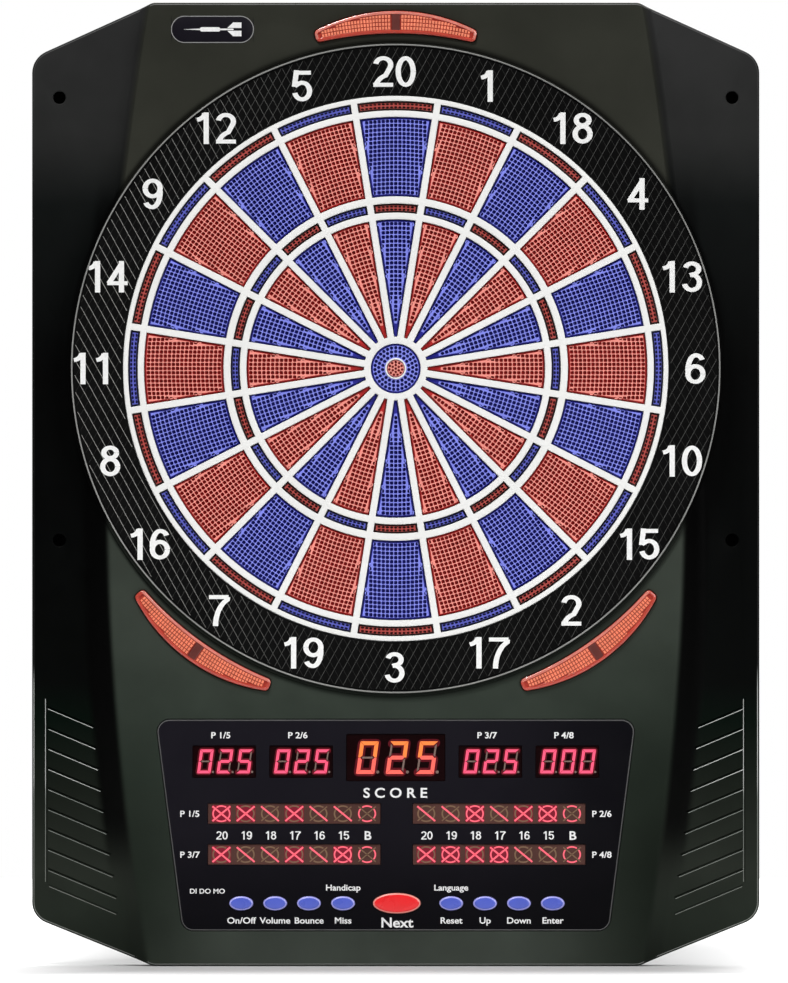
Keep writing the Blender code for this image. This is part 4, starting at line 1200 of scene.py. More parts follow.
def perforations(inner, outer):
    """Outlines of the small holes in the top sector's zone, in rows along arcs and straight columns.

    The last hole of a row is only as wide as the space beside the pad's slanted edge.
    """
    narrow = is_narrow(inner, outer)
    width, height = NARROW_PERFORATION if narrow else PERFORATION
    edge = PLAY + pad_edge(inner, outer) + 0.1
    room = outer - inner - 2 * edge - height
    rows = 1 + round(room / (NARROW_ROW_PITCH if narrow else ROW_PITCH))
    tip = tip_radius(RIB / 2 + edge)
    pits = []
    for row in range(rows):
        radius = inner + edge + height / 2 + room * row / (rows - 1)
        if radius - height / 2 < tip:
            continue
        for column in range(-10, 11):
            across = column * COLUMN_PITCH
            if abs(across) >= radius:
                continue
            up = math.sqrt(radius**2 - across**2)
            beside = (radius - height / 2) * math.sin(math.pi / SECTORS - abs(math.atan2(across, up)))
            outer_half = min(width / 2, beside - RIB / 2 - edge)
            inner_half = outer_half if column == 0 else width / 2
            if outer_half + inner_half >= SMALLEST_PERFORATION:
                middle = across + math.copysign((outer_half - inner_half) / 2, across)
                size = (outer_half + inner_half, height)
                corner = min(0.45, size[0] / 2 - 0.1)
                pits.append(rounded_rectangle(*size, corner, (middle, up), 1))
    return pits


def pad_edge(inner, outer):
    """Width of the slanted edge around a pad's face."""
    return NARROW_PAD_EDGE if is_narrow(inner, outer) else PAD_EDGE


def perforated(skin, outline, face, pits):
    """A pad's front: slanted edge, flat face and blind holes, on a flange behind the grille."""
    flange = inset(outline, -1.5)
    skin.finish = 0
    skin.cap(flange, PAD_BACK, front=False)
    skin.levels([(flange, PAD_BACK), (flange, PAD_FLANGE_FRONT)])
    skin.cap(flange, PAD_FLANGE_FRONT, [outline])
    # The slanted edge takes the pit colour, painted shade around the face.
    skin.finish = 1
    skin.levels([(outline, PAD_FLANGE_FRONT), (outline, PAD_FRONT - 2), (face, PAD_FRONT)])
    skin.finish = 0
    skin.cap(face, PAD_FRONT, pits)
    add_pits(skin, pits)


def add_pits(skin, pits):
    """The walls and floors of blind holes, in the skin's second finish, the pits' painted shade."""
    skin.finish = 1
    floor = PAD_FRONT - PERFORATION_DEPTH
    for pit in pits:
        skin.levels([(pit, floor), (pit, PAD_FRONT)], inwards=True)
        skin.add([(x, floor, z) for x, z in pit])
    skin.finish = 0


def make_pads():
    """The 80 pads around the bull, each its own piece, cut from four shapes in two colours."""
    single_looks = {"blue": [PAD_BLUE, PIT_BLUE], "red": [PAD_RED, PIT_RED]}
    # Doubles and trebles take the darker copies, painted shade.
    scoring_looks = {"blue": [SCORING_BLUE, SCORING_PIT_BLUE], "red": [SCORING_RED, SCORING_PIT_RED]}
    for band, (inner, outer) in BANDS.items():
        looks = single_looks if "single" in band else scoring_looks
        edge = pad_edge(inner, outer)
        outline = sector(inner + PLAY, outer - PLAY, RIB / 2 + PLAY)
        face = sector(inner + PLAY, outer - PLAY, RIB / 2 + PLAY, shrink=edge)
        pits = perforations(inner, outer)
        meshes = {}
        for index, number in enumerate(NUMBERS):
            single_colour, scoring_colour = ("blue", "red") if index % 2 == 0 else ("red", "blue")
            colour = single_colour if "single" in band else scoring_colour
            name = f"pad_{band}_{number:02d}"
            if colour in meshes:
                pad = place_mesh(name, meshes[colour])
            else:
                skin = Skin()
                perforated(skin, outline, face, pits)
                pad = skin.build(name, looks[colour])
                meshes[colour] = pad.data
            pad.rotation_euler = (0, 2 * math.pi * index / SECTORS, 0)
            node = f"segments_{number:02d}"
            dress(pad, node, f"segment_{colour}", node)


def make_bulls():
    """The two bulls and the white collar between them."""
    bore, flange, flange_bore = 5.75, 17.6, 8.3
    recess = PAD_FLANGE_FRONT + 2
    edge, outer_bevel = 0.5, 1.0
    outer_edge, collar = BULL_HOLE - PLAY, 6.8
    rings = [(8.4, 19), (10.9, 25), (13.3, 31)]
    pits = []
    for radius, count in rings:
        angles = [2 * math.pi * step / count for step in range(count)]
        pits += [circle(BULL_PERFORATION, polar(radius, angle), 8) for angle in angles]
    skin = Skin()
    profile = [
        (bore, PAD_FRONT - edge),
        (bore, recess),
        (flange_bore, recess),
        (flange_bore, PAD_BACK),
        (flange, PAD_BACK),
        (flange, PAD_FLANGE_FRONT),
        (outer_edge, PAD_FLANGE_FRONT),
        (outer_edge, PAD_FRONT - outer_bevel),
    ]
    skin.levels([(circle(radius, steps=64), depth) for radius, depth in profile])
    # The bevel around the outer bull takes the pit colour, painted shade.
    skin.finish = 1
    face, hole = circle(outer_edge - outer_bevel, steps=64), circle(bore, steps=64)
    skin.levels([(circle(outer_edge, steps=64), PAD_FRONT - outer_bevel), (face, PAD_FRONT)])
    skin.finish = 0
    skin.cap(face, PAD_FRONT, [hole] + pits)
    skin.levels([(hole, PAD_FRONT - edge), (hole, PAD_FRONT)], inwards=True)
    add_pits(skin, pits)
    dress(skin.build("bull_outer_pad", [PAD_BLUE, PIT_BLUE]), "bull_outer", "segment_blue", "bull_outer")

    ring = Skin()
    top = SPIDER_FRONT - 0.3
    ring.turned(
        [(collar, PAD_FRONT - 0.1), (collar, top - 0.3), (collar - 0.25, top), (bore + 0.3, top),
         (bore, top - 0.3), (bore, PAD_FRONT - 0.1)],
        steps=64,
    )
    dress(ring.build("bull_collar", [GRILLE]), "bull_outer", "grille_white")

    radius = bore - GAP
    inner_perforation = 0.85
    inner_pits = [circle(inner_perforation, (0, 0), 8)]
    for ring_radius, count in ((2.2, 6), (4.1, 11)):
        places = [polar(ring_radius, 2 * math.pi * step / count) for step in range(count)]
        inner_pits += [circle(inner_perforation, place, 8) for place in places]
    inner = Skin()
    inner_flange = circle(8, steps=64)
    rim = circle(radius, steps=64)
    face = circle(radius - edge, steps=64)
    inner.cap(inner_flange, PAD_BACK, front=False)
    inner.levels([(inner_flange, PAD_BACK), (inner_flange, PAD_FLANGE_FRONT), (rim, PAD_FLANGE_FRONT),
                  (rim, PAD_FRONT - edge), (face, PAD_FRONT)])
    inner.cap(face, PAD_FRONT, inner_pits)
    add_pits(inner, inner_pits)
    dress(inner.build("bull_inner_pad", [PAD_RED, PIT_RED]), "bull_inner", "segment_red", "bull_inner")


# The number ring -----------------------------------------------------------------------------------


def ring_depth(radius):
    """Depth of the number ring's leaning face at a radius."""
    share = (radius - RING_INNER) / (RING_OUTER - RING_INNER)
    return RING_INNER_FRONT + (RING_OUTER_FRONT - RING_INNER_FRONT) * share


def make_number_ring():
    """The black ring, a channel with softened rims and a crossed texture of thin raised lines."""
    lip = 0.35
    skin = Skin()
    skin.turned(
        [
            (RING_OUTER, RING_BACK),
            (RING_OUTER, RING_OUTER_FRONT - lip),
            (RING_OUTER - lip, ring_depth(RING_OUTER - lip)),
            (RING_INNER + lip, ring_depth(RING_INNER + lip)),
            (RING_INNER, RING_INNER_FRONT - lip),
            (RING_INNER, RING_BACK),
            (RING_INNER + RING_WALL, RING_BACK),
            (RING_INNER + RING_WALL, RING_INNER_FRONT - RING_WALL),
            (RING_OUTER - RING_WALL, RING_OUTER_FRONT - RING_WALL),
            (RING_OUTER - RING_WALL, RING_BACK),
        ]
    )
    dress(skin.build("number_ring_channel", [RING]), "housing", "ring_plastic", "number_ring")

    pitch, width, height, slope, rim = 4.9, 0.45, 0.2, math.radians(61), 1.0
    inner, outer = RING_INNER + rim, RING_OUTER - rim
    ridges = Skin()
    for finish, lean in enumerate((slope, -slope)):
        ridges.finish = finish
        along = Vector((math.cos(lean), math.sin(lean)))
        across = left_of(along)
        for number in range(-int(outer / pitch), int(outer / pitch) + 1):
            offset = number * pitch
            reach = math.sqrt(max(outer**2 - offset**2, 0))
            hidden = math.sqrt(max(inner**2 - offset**2, 0))
            spans = [(-reach, reach)] if hidden == 0 else [(-reach, -hidden), (hidden, reach)]
            for start, end in spans:
                add_ridge(ridges, across * offset, along, (start, end), (width, height))
    dress(ridges.build("number_ring_texture", [RIDGE_RISING, RIDGE_FALLING]), "housing", "ring_plastic")


def add_ridge(skin, foot, along, span, size):
    """A thin three-sided ridge along a line on the ring's face, in short lengths that follow it."""
    width, height = size
    side = left_of(along) * width / 2
    steps = max(1, round((span[1] - span[0]) / 5))
    sections = []
    for step in range(steps + 1):
        place = foot + along * (span[0] + (span[1] - span[0]) * step / steps)
        section = []
        for point, rise in ((place - side, -0.05), (place + side, -0.05), (place, height)):
            section.append((point.x, ring_depth(place.length) + rise, point.y))
        sections.append(section)
    skin.tube(sections)


def arc(centre, radii, start, end, steps=14):
    """Points of an elliptic arc between two angles in degrees, anticlockwise from +X."""
    turns = [math.radians(start + (end - start) * step / steps) for step in range(steps + 1)]
    return [(centre[0] + radii[0] * math.cos(t), centre[1] + radii[1] * math.sin(t)) for t in turns]


NUMERAL_HEIGHT = 19.3
NUMERAL_STROKE = 3.0
NUMERAL_FLATNESS = 0.76
NUMERAL_ADVANCE = 13.8


def numeral_strokes():
    """Centre lines of the ten numerals, on a base line at 0 and centred on x = 0."""
    edge = NUMERAL_STROKE / 2
    top, low = NUMERAL_HEIGHT - edge, edge
    wide = 4.6
    full = NUMERAL_HEIGHT
    six = [
        arc((0.2, 13.6), (4.2, top - 13.6), 20, 90, 6)[:-1]
        + arc((0.2, 8.6), (wide + 0.2, top - 8.6), 90, 185, 10),
        arc((0, 6.3), (wide, 6.3 - low), 0, 360, 28),
    ]
    nine = [[(-x, full - z) for x, z in stroke] for stroke in six]
    return {
        "0": [arc((0, full / 2), (wide, full / 2 - edge), 0, 360, 32)],
        "1": [[(1.7, 0), (1.7, full)], arc((-4.4, 19.4), (5.3, 4.6), -85, -8, 6)],
        "2": [
            arc((0, 13.8), (wide, top - 13.8), 172, -28, 16)
            + arc((4.2, -1.0), (8.9, 8.6), 108, 152, 5)
            + [(-wide, low)],
            [(-6.1, low), (6.1, low)],
        ],
        "3": [
            arc((0, 14.4), (4.1, top - 14.4), 165, -90, 18) + [(-1.2, 10.6)],
            [(-1.2, 10.5)] + arc((0, 6.1), (wide, 6.1 - low), 90, -168, 18),
        ],
        "4": [[(2.5, 0), (2.5, full)], [(2.6, full - 1.6), (-5.2, 5.6)], [(-6.2, 5.7), (6.3, 5.7)]],
        "5": [
            [(-3.9, top), (5.4, top)],
            [(-3.4, full), (-4.7, 9.2)],
            [(-4.6, 9.6)] + arc((0, 6.6), (wide, 6.6 - low), 128, -166, 18),
        ],
        "6": six,
        "7": [[(-6.0, top), (6.0, top)], [(5.4, top)] + arc((9.5, 0), (11.5, 17.4), 112, 180, 8)],
        "8": [
            arc((0, 14.6), (3.9, top - 14.6), 0, 360, 24),
            arc((0, 6.1), (wide, 6.1 - low), 0, 360, 28),
        ],
        "9": nine,
    }


def covered_by(outlines):
    """A test of which points lie in any of the outlines."""
    return lambda points: np.any([inside(points, [outline]) for outline in outlines], axis=0)


def add_numerals(skin, text, centre, height, depth_at, thickness, stroke=NUMERAL_STROKE):
    """Upright numerals around a place, plates on a surface whose depth is depth_at(radius)."""
    scale = height / NUMERAL_HEIGHT
    for place, numeral in enumerate(text):
        start = centre[0] + (place - (len(text) - 1) / 2) * NUMERAL_ADVANCE * scale
        outlines = []
        for path in numeral_strokes()[numeral]:
            tall = [(x, z / NUMERAL_FLATNESS) for x, z in path]
            outline = [(x * scale, z * NUMERAL_FLATNESS * scale) for x, z in ribbon(tall, stroke)]
            outlines.append(moved(outline, start, centre[1] - height / 2))
        places, triangles = triangulate(outlines, keep=covered_by(outlines))
        depth = depth_at(np.hypot(places[:, 0], places[:, 1]))
        skin.relief(places, triangles, depth + thickness, depth - 0.05)


def make_numerals():
    """The numbers 1 to 20 on the ring, upper and right ones a little low and wide ones left further out."""
    radius = 190.8
    skin = Skin()
    for index, number in enumerate(NUMBERS):
        x, z = polar(radius, 2 * math.pi * index / SECTORS)
        outwards = 2.6 if x < -0.5 * radius and number > 9 else 0
        right, up = 1.3 * max(0, x / radius), 1.2 * max(0, z / radius)
        place = (x - 0.8 - outwards + right, z - up)
        add_numerals(skin, str(number), place, 1.04 * NUMERAL_HEIGHT, ring_depth, 0.5, 3.2)
    dress(skin.build("numerals", [NUMERAL]), "housing", "ring_plastic")


# The lamps -----------------------------------------------------------------------------------------


def make_lamps():
    """Three crescent lenses: a glossy rim around a ribbed field, split by a dark divider."""
    rim, step = 1.9, 0.5
    field_depth = LENS_FRONT - 0.9
    for name, swing in LAMPS.items():
        outline = lens_outline()
        lens = Skin()
        lens.finish = 1
        loops = [
            (outline, LENS_BACK),
            (outline, LENS_FRONT - 1.0),
            (inset(outline, 0.3), LENS_FRONT - 0.3),
            (inset(outline, 0.8), LENS_FRONT),
            (inset(outline, rim), LENS_FRONT),
            (inset(outline, rim + step), field_depth),
        ]
        lens.cap(outline, LENS_BACK, front=False)
        lens.levels(loops)
        lens.finish = 2
        lens.cap(inset(outline, rim + step), field_depth)
        lens.finish = 0
        add_lens_cells(lens, rim + step, field_depth)
        piece = lens.build(f"{name}_lens_ribbed", [LENS, LENS_RIM, LENS_DEEP, LENS_PALE])
        # Painted highlight: rim faces that face up take the pale material.
        for face in piece.data.polygons:
            x, y, z = face.center / MM
            inwards = math.hypot(x, z) < LENS_INNER_RADIUS + rim
            faces_up = inwards if math.cos(swing) < 0 else not inwards
            if face.material_index == 1 and faces_up and -y > LENS_FRONT - 0.3:
                face.material_index = 3
        piece.rotation_euler = (0, swing, 0)
        dress(piece, "housing", "lens_orange", f"{name}_lens")

        low, high = LENS_INNER_RADIUS + rim + 0.2, lens_outer_radius(0) - rim + 0.6
        bar = rounded_rectangle(5.4, high - low, 0.6, (0, (high + low) / 2))
        divider = Skin()
        top = inset(bar, 0.4)
        divider.solid([(bar, field_depth - 0.5), (bar, LENS_FRONT - 0.4), (top, LENS_FRONT - 0.1)])
        piece = divider.build(f"{name}_divider", [LENS_BAR])
        piece.rotation_euler = (0, swing, 0)
        dress(piece, "housing", "lens_orange")


def add_lens_cells(lens, margin, depth):
    """A grid of small raised cells on a lens's field, in rows along it on both sides of the middle."""
    rows, row_pitch, column_pitch, gap = 4, 2.5, 1.9, 0.75
    wall_height, height, slant = 0.2, 0.5, 0.12
    border, divider_room, tip_turn, shortest = 0.15, 3.5, 0.016, 0.5
    low = LENS_INNER_RADIUS + margin + border
    middle = divider_room / LENS_INNER_RADIUS
    turn = column_pitch / LENS_INNER_RADIUS
    for side in (-1, 1):
        for column in range(int((LENS_HALF_ANGLE - middle) / turn)):
            start = middle + turn * column
            end = start + turn * (1 - gap / column_pitch)
            if end > LENS_HALF_ANGLE - tip_turn:
                continue
            high = lens_outer_radius(end) - margin - border
            for row in range(rows):
                near = low + row * row_pitch
                far = min(near + row_pitch - gap, high)
                if far - near < shortest:
                    continue
                cell = [polar(near, side * start), polar(near, side * end)]
                cell += [polar(far, side * end), polar(far, side * start)]
                cell = cell if side < 0 else cell[::-1]
                top = inset(cell, slant)
                lens.levels([(cell, depth - 0.05), (cell, depth + wall_height), (top, depth + height)])
                lens.cap(top, depth + height)


# The control panel ---------------------------------------------------------------------------------


def number_window(node):
    """The (x, z) middle and the (width, height) of a number display's window."""
    (left, right), _, (low, high) = node_box(node)
    width, height = right - left - 2 * DISPLAY_MARGIN[0], high - low - 2 * DISPLAY_MARGIN[1]
    return ((left + right) / 2, (low + high) / 2), (width, height)


def bar_windows(node):
    """The middles of a cricket display's upper and lower windows."""
    (left, right), _, (low, high) = node_box(node)
    away = DISPLAY_MARGIN[1] + BAR_SIZE[1] / 2
    return [((left + right) / 2, high - away), ((left + right) / 2, low + away)]


def button_oval(name):
    """The (x, z) middle and the (width, height) of a button's hole in the plate."""
    (left, right), _, (low, high) = node_box(f"button_{name}")
    size = right - left - 2 * BUTTON_FLANGE, high - low - 2 * BUTTON_FLANGE
    return ((left + right) / 2, (low + high) / 2), size


def make_control_panel():
    """The glossy plate: a lip behind the housing, rounded edges, windows and button holes."""
    holes = []
    for node in NUMBER_DISPLAYS + ("display_main",):
        centre, size = number_window(node)
        holes.append(rounded_rectangle(*size, 0.8, centre, 3))
    for node in CRICKET_DISPLAYS:
        holes += [rounded_rectangle(*BAR_SIZE, 0.6, centre, 3) for centre in bar_windows(node)]
    for name in BUTTONS:
        centre, size = button_oval(name)
        holes.append(ellipse(*size, centre))
    front = plate_outline()
    lip = inset(front, -PLATE_LIP)
    edge = [(0, 0.7), (0.2, 0.25), (0.6, 0)]
    skin = Skin()
    skin.cap(lip, PLATE_BACK, holes, front=False)
    skin.levels([(lip, PLATE_BACK), (lip, PLATE_LIP_FRONT)])
    skin.cap(lip, PLATE_LIP_FRONT, [front])
    skin.levels([(front, PLATE_LIP_FRONT)] + [(inset(front, d), PLATE_FRONT - drop) for d, drop in edge])
    skin.cap(inset(front, edge[-1][0]), PLATE_FRONT, [inset(hole, -0.25) for hole in holes])
    for hole in holes:
        soft = [(hole, PLATE_BACK), (hole, PLATE_FRONT - 0.25), (inset(hole, -0.25), PLATE_FRONT)]
        skin.levels(soft, inwards=True)
    dress(skin.build("control_panel_plate", [GLOSS]), "housing", "panel_gloss", "control_panel")
    # A raised bead around the plate, in a lighter grey as a painted highlight.
    rim = Skin()
    outer, inner = inset(front, 0.15), inset(front, 1.15)
    crest = inset(front, 0.65)
    low = PLATE_FRONT - 0.3
    rim.levels([(inner, low), (outer, low), (crest, PLATE_FRONT + 0.35), (inner, low)])
    dress(rim.build("control_panel_bead", [BEAD]), "housing", "panel_gloss")


SEGMENTS_OF = {"0": "abcdef", "2": "abged", "5": "afgcd"}
UPPER_BARS = "abf"
DIGIT_LEAN = math.tan(math.radians(8))
LIT_RISE = 0.15
UNLIT_RISE = 0.08


def flipped(outline, across, up):
    """An outline mirrored by signs of -1 across or up, still running the same way round."""
    return [(across * x, up * z) for x, z in reversed(outline)]


def seven_bars(width, height, thick):
    """Outlines of a digit's seven mitred bars, named a to g, around its middle."""
    right, top = width / 2, height / 2
    half, gap = thick / 2, 0.14
    inner = right - thick
    bars = {
        "a": [(-right + gap, top), (-inner + gap, top - thick), (inner - gap, top - thick),
              (right - gap, top)],
        "b": [(right, top - gap), (inner, top - thick - gap), (inner, half + gap), (right - half, gap),
              (right, gap)],
        "g": [(-inner - half, 0), (-inner, -half), (inner, -half), (inner + half, 0), (inner, half),
              (-inner, half)],
    }
    bars["c"] = flipped(bars["b"], 1, -1)
    bars["d"] = flipped(bars["a"], 1, -1)
    bars["e"] = flipped(bars["c"], -1, 1)
    bars["f"] = flipped(bars["b"], -1, 1)
    return bars


def bar_halo(outline, reach):
    """The round-ended glow around a bar."""
    across, up = [x for x, _ in outline], [z for _, z in outline]
    middle = (min(across) + max(across)) / 2, (min(up) + max(up)) / 2
    half_width, half_height = (max(across) - min(across)) / 2, (max(up) - min(up)) / 2
    thin = min(half_width, half_height)
    run = half_width - thin, half_height - thin
    start, end = (middle[0] - run[0], middle[1] - run[1]), (middle[0] + run[0], middle[1] + run[1])
    return capsule(start, end, thin + reach)


def slanted(outline, x, z):
    """An outline around the origin, leaning to the right and moved to a place."""
    return [(x + px + pz * DIGIT_LEAN, z + pz) for px, pz in outline]


def add_number(skin, text, centre, height, spacing, upper=0):
    """Slanted digits with their points; lit bars take finish 0, and the upper ones take upper."""
    width, thick, reach = height * 0.56, height * 0.118, height * 0.07
    back = DISPLAY_FRONT - 0.05
    halo = []
    for place, numeral in enumerate(text):
        x = centre[0] + (place - (len(text) - 1) / 2) * spacing
        for letter, outline in seven_bars(width, height, thick).items():
            lit = letter in SEGMENTS_OF[numeral]
            if lit:
                skin.finish = upper if letter in UPPER_BARS else 0
                skin.prism([slanted(outline, x, centre[1])], back, DISPLAY_FRONT + LIT_RISE)
                halo.append(slanted(bar_halo(outline, reach), x, centre[1]))
            else:
                skin.finish = 1
                shrunk = inset(outline, 0.25 * thick)
                skin.prism([slanted(shrunk, x, centre[1])], back, DISPLAY_FRONT + UNLIT_RISE)
        skin.finish = 1
        point = (x + width / 2 + thick * 0.9 - height / 2 * DIGIT_LEAN, centre[1] - height / 2 + thick / 2)
        skin.prism([circle(thick * 0.4, point, 12)], back, DISPLAY_FRONT + 0.12)
    skin.finish = 3
    skin.prism(halo, back, DISPLAY_FRONT + 0.04, keep=covered_by(halo))


def make_number_displays():
    """The lit digits of the five number displays."""
    readings = dict(zip(NUMBER_DISPLAYS, ("025", "025", "025", "000")))
    for node in NUMBER_DISPLAYS + ("display_main",):
        clad(node, WINDOW)
        centre, (width, height) = number_window(node)
        skin = Skin()
        if node == "display_main":
            place = (centre[0] + 0.9, centre[1])
            add_number(skin, "025", place, height * 0.69, width * 0.3, upper=2)
            finishes = [LIT_MAIN, UNLIT, LIT_AMBER, HALO]
        else:
            place = (centre[0] + 0.5, centre[1] + 0.2)
            add_number(skin, readings[node], place, height * 0.74, width * 0.308)
            finishes = [LIT, UNLIT, LIT_AMBER, HALO]
        dress(skin.build(f"{node}_digits", finishes), "housing", "display_red")


# Marks of the cricket bars from 20 down to the bull: cross, one stroke, and a ring around either.
CRICKET_MARKS = {
    "cricket_display_left": ("XO X / X / / O", "X / / X / XO O"),
    "cricket_display_right": ("/ / XO / X XO O", "X XO X XO / / O"),
}


def make_cricket_displays():
    """The cricket bars: seven cells a row, each with two strokes and a ring, some of them lit."""
    across, up, stroke_width = 5.7, 4.7, 1.15
    ring_radii, ring_width, half_quarter = (5.3, 4.9), 0.95, 36
    strokes = {
        "falling": ribbon([(-across, up), (across, -up)], stroke_width),
        "rising": ribbon([(-across, -up), (across, up)], stroke_width),
    }
    quarters = []
    for middle in (0, 90, 180, 270):
        path = arc((0, 0), ring_radii, middle - half_quarter, middle + half_quarter, 8)
        quarters.append(ribbon(path, ring_width))
    cell_ground = rounded_rectangle(2 * across + 0.9, 2 * up + 1.6, 1.0, steps=2)
    back = DISPLAY_FRONT - 0.05
    for node in CRICKET_DISPLAYS:
        clad(node, BAR_WINDOW)
        skin = Skin()
        for centre, marks in zip(bar_windows(node), CRICKET_MARKS[node]):
            for cell, mark in enumerate(marks.split()):
                place = (centre[0] + (cell - 3) * CRICKET_PITCH, centre[1])
                lit = {"falling": mark[0] in "X/", "rising": mark[0] == "X"}
                if mark[0] == "X":
                    skin.finish = 2
                    skin.prism([moved(cell_ground, *place)], back, DISPLAY_FRONT + 0.03)
                skin.finish = 0 if "O" in mark else 1
                for quarter in quarters:
                    skin.prism([moved(quarter, *place)], back, DISPLAY_FRONT + 0.1)
                for name, outline in strokes.items():
                    skin.finish = 0 if lit[name] else 1
                    rise = 0.16 if lit[name] else 0.07
                    shown = outline if lit[name] else inset(outline, 0.2)
                    skin.prism([moved(shown, *place)], back, DISPLAY_FRONT + rise)
        finishes = [CRICKET_LIT, CRICKET_UNLIT, CRICKET_HALO]
        dress(skin.build(f"{node}_marks", finishes), "housing", "display_red")


def button_rows(label_row):
    """(text, x, z, height) of each button's label."""
    texts = ("On/Off", "Volume", "Bounce", "Miss", "Next", "Reset", "Up", "Down", "Enter")
    rows = []
    for name, text in zip(BUTTONS, texts):
        (x, z), _ = button_oval(name)
        big = name == "next"
        rows.append((text, x, z - label_row - (1.3 if big else 0), 6.2 if big else 3.9))
    return rows


def make_labels():
    """The plate's printed labels, all in one thin raised layer."""
    small, cell_text, cell_shift = 3.85, 5.4, 0.4
    labels = button_rows(10.9)
    numerals = Skin()
    for node, text in zip(NUMBER_DISPLAYS, ("P 1/5", "P 2/6", "P 3/7", "P 4/8")):
        (x, z), (_, height) = number_window(node)
        labels.append((text, x - 2.2, z + height / 2 + 6.6, small))
    upper, lower = bar_windows("cricket_display_left")
    middle_row = (upper[1] + lower[1]) / 2
    for node in CRICKET_DISPLAYS:
        x = bar_windows(node)[0][0]
        for cell, text in enumerate(("20", "19", "18", "17", "16", "15")):
            place = (x + cell_shift + (cell - 3) * CRICKET_PITCH, middle_row - 0.8)
            add_numerals(numerals, text, place, cell_text, lambda radius: 0 * radius + PLATE_FRONT, 0.08, 3.3)
        labels.append(("B", x + cell_shift + 3 * CRICKET_PITCH, middle_row - 0.8, cell_text))
    dress(numerals.build("panel_numerals", [INK]), "housing", "panel_gloss")
    side = 131.5
    for text, x, z in (
        ("P 1/5", -side, upper[1]), ("P 3/7", -side, lower[1]),
        ("P 2/6", side, upper[1]), ("P 4/8", side, lower[1]),
    ):
        labels.append((text, x, z, small))
    row = button_oval("next")[0][1]
    labels.append(("Handicap", -33.6, row + 10.1, 3.75))
    labels.append(("Language", 35.3, row + 10.1, 3.75))
    labels.append(("DI DO MO", -120.3, row + 7.8, 3.0))
    labels.append(("S C O R E", -0.3, -270.8, 6.1))
    layer = bmesh.new()
    scratch = bpy.data.meshes.new("label")
    for text, x, z, height in labels:
        letters = lettering(text, height, (x, z), PLATE_FRONT + 0.02, spread=1.12, weight=height * 0.028)
        letters.to_mesh(scratch)
        letters.free()
        layer.from_mesh(scratch)
    mesh = bpy.data.meshes.new("panel_labels")
    layer.to_mesh(mesh)
    layer.free()
    bpy.data.meshes.remove(scratch)
    mesh.materials.append(INK)
    dress(place_mesh("panel_labels", mesh), "housing", "panel_gloss")


def make_buttons():
    """Nine domed oval buttons, each with a painted highlight: a lighter edge around its crown."""
    for name in BUTTONS:
        centre, (width, height) = button_oval(name)
        width, height = width - 2 * GAP, height - 2 * GAP
        flange = ellipse(width + 2 * (BUTTON_FLANGE + GAP), height + 2 * (BUTTON_FLANGE + GAP), centre)
        cap = ellipse(width, height, centre)
        dome = BUTTON_FRONT - 1.3
        shapes = [(0.22, 0.62), (0.95, 1.02), (1.3, 1.16)]
        crown = [(inset(cap, distance), dome + rise) for distance, rise in shapes]
        for share, drop in ((0.6, 0.05), (0.3, 0)):
            crown.append((ellipse(width * share, height * share, centre), BUTTON_FRONT - drop))
        skin = Skin()
        skin.finish = 1
        skin.cap(flange, BUTTON_BACK, front=False)
        skin.levels([(flange, BUTTON_BACK), (flange, PLATE_BACK - GAP), (cap, PLATE_BACK - GAP),
                     (cap, dome), crown[0], crown[1]])
        skin.finish = 0
        skin.levels(crown[1:])
        skin.cap(*crown[-1])
        colours = [BUTTON_RED, BUTTON_RED_RIM] if name == "next" else [BUTTON_BLUE, BUTTON_BLUE_RIM]
        slot = "button_red" if name == "next" else "button_blue"
        dress(skin.build(f"button_{name}_cap", colours), f"button_{name}", slot, f"button_{name}")


# The rear and the inside ---------------------------------------------------------------------------


def clad(node, material):
    """Gives a carried-over node its finished material."""
    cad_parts[node].material_slots[0].material = material


def soften(node, width):
    """Small rounded edges on a carried-over node."""
    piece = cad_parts[node]
    weld = piece.modifiers.new("join corners", "WELD")
    weld.merge_threshold = 0.00001
    bevel = piece.modifiers.new("soft edges", "BEVEL")
    bevel.width = width * MM
    bevel.segments = 2
    bevel.limit_method = "ANGLE"
    bevel.angle_limit = math.radians(40)
    bevel.use_clamp_overlap = True


def make_inside_and_rear():
    """Materials and soft edges for the nodes whose shapes stay as they are."""
    clad("rear_cover", COVER)
    clad("rubber_sheet", RUBBER)
    clad("membrane_switch", FILM)
    clad("backing_board", HARDBOARD)
    clad("main_board", BOARD)
    clad("speaker", SPEAKER)
    clad("dc_jack", SPEAKER)
    for lamp in LAMPS:
        clad(f"{lamp}_board", BOARD)
    for corner in SCREWS:
        clad(f"rear_screw_{corner}", STEEL)
    soften("rear_cover", 0.35)
    soften("dc_jack", 0.3)


# The stage -----------------------------------------------------------------------------------------


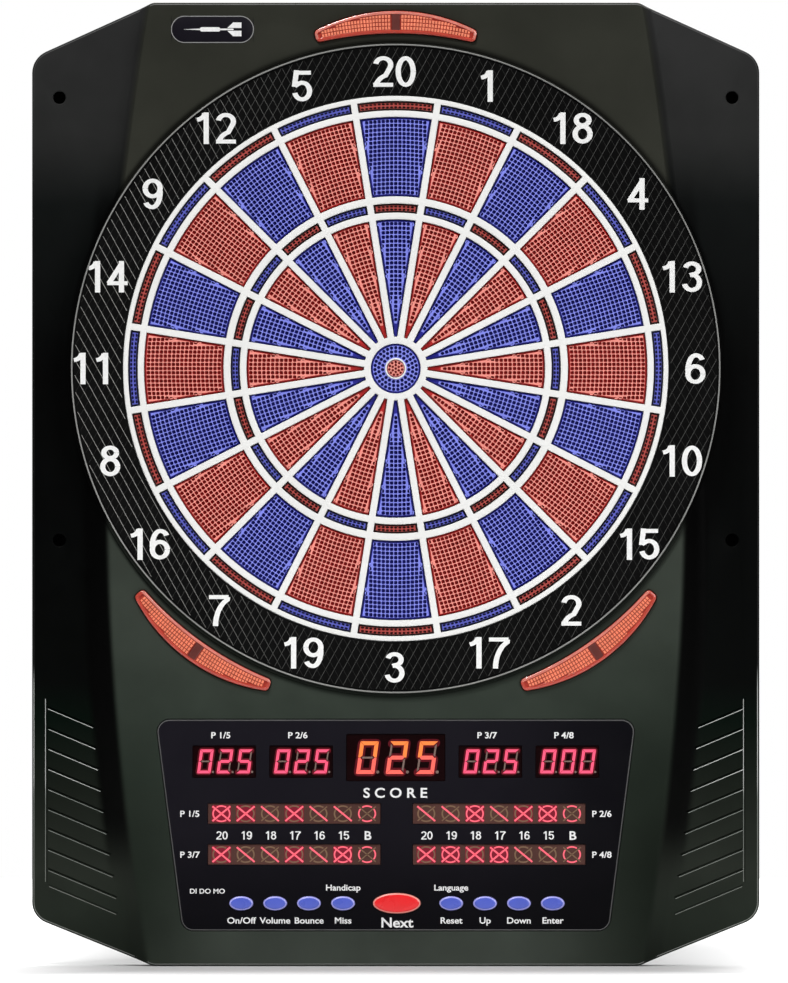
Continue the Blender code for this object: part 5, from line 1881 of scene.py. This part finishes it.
def make_stage():
    """A pale floor that fades into the white surroundings, so no edge of it shows from any side."""
    look = Shader("stage_pale", (0.6, 0.6, 0.6), 0.9)
    look.bump(look.noise(30, 2), 0.02)
    # Painted shade: the floor glows except near the board, so a darker patch stays around it.
    x, y = look.compute("ABSOLUTE", look.axis("X")), look.axis("Y")
    before = look.compute("MULTIPLY", look.rise(y, -90, -260), 0.75)
    beside = look.compute("MULTIPLY", look.rise(x, 150, 290), 0.6)
    behind = look.compute("MULTIPLY", look.rise(y, 300, 1100), 0.65)
    far_off = look.rise(look.length(x, y), 1000, 1700)
    glow = look.compute("MAXIMUM", look.compute("MAXIMUM", before, beside), behind)
    glow = look.compute("MAXIMUM", glow, far_off)
    look.join(look.compute("ADD", glow, 0.05), look.shader.inputs["Emission Strength"])
    look.set("Emission Color", (1, 1, 1, 1))
    floor, half, far, near = BOTTOM - 0.2, 2000, 2000, 500
    mesh = bpy.data.meshes.new("studio_floor")
    corners = [(-half, near), (half, near), (half, -far), (-half, -far)]
    mesh.from_pydata([(x * MM, -depth * MM, floor * MM) for x, depth in corners], [], [(0, 1, 2, 3)])
    mesh.materials.append(look.material)
    place_mesh("studio_floor", mesh)


def add_light(name, place, aim, size, power):
    """A soft rectangular light that looks from a place at an aim, both in millimetres."""
    light = bpy.data.lights.new(name, "AREA")
    light.shape = "RECTANGLE"
    light.size, light.size_y = size[0] * MM, size[1] * MM
    light.energy = power
    lamp = bpy.data.objects.new(name, light)
    bpy.context.scene.collection.objects.link(lamp)
    lamp.location = Vector(place) * MM
    lamp.rotation_euler = (Vector(aim) - Vector(place)).to_track_quat("-Z", "Y").to_euler()


def make_lights():
    """Soft studio light from both sides, above and behind."""
    add_light("key", (-700, -1500, 2200), (0, 0, -60), (700, 700), 56)
    add_light("fill", (1500, -1900, 700), (0, 0, -80), (1400, 1400), 27)
    add_light("top", (0, 700, 1900), (0, 0, -80), (1500, 500), 30)
    add_light("back", (700, 2300, 1300), (0, 0, -80), (1400, 1400), 45)
    world = bpy.data.worlds.new("studio")
    world.use_nodes = True
    nodes, links = world.node_tree.nodes, world.node_tree.links
    dim = nodes["Background"]
    dim.inputs["Color"].default_value = (1, 1, 1, 1)
    dim.inputs["Strength"].default_value = 0.05
    bright = nodes.new("ShaderNodeBackground")
    bright.inputs["Color"].default_value = (1, 1, 1, 1)
    bright.inputs["Strength"].default_value = 1
    choice = nodes.new("ShaderNodeMixShader")
    links.new(nodes.new("ShaderNodeLightPath").outputs["Is Camera Ray"], choice.inputs["Fac"])
    links.new(dim.outputs["Background"], choice.inputs[1])
    links.new(bright.outputs["Background"], choice.inputs[2])
    links.new(choice.outputs["Shader"], nodes["World Output"].inputs["Surface"])
    bpy.context.scene.world = world
    bpy.context.scene.view_settings.view_transform = "Standard"


def make_camera():
    """A long lens straight in front of the board."""
    distance, view_height = 9000, 627.5
    aim_x, aim_z = -1.1, -78.5
    camera = bpy.data.cameras.new("camera")
    camera.sensor_fit = "VERTICAL"
    camera.sensor_height = 24
    camera.lens = camera.sensor_height * distance / view_height
    camera.clip_end = 100
    holder = bpy.data.objects.new("camera", camera)
    bpy.context.scene.collection.objects.link(holder)
    holder.location = Vector((aim_x, -(distance + PANEL_FRONT), aim_z)) * MM
    holder.rotation_euler = (math.pi / 2, 0, 0)
    bpy.context.scene.camera = holder


make_housing()
make_louvre_edges()
make_badge()
make_spider()
make_pads()
make_bulls()
make_number_ring()
make_numerals()
make_lamps()
make_control_panel()
make_number_displays()
make_cricket_displays()
make_labels()
make_buttons()
make_inside_and_rear()
make_stage()
make_lights()
make_camera()
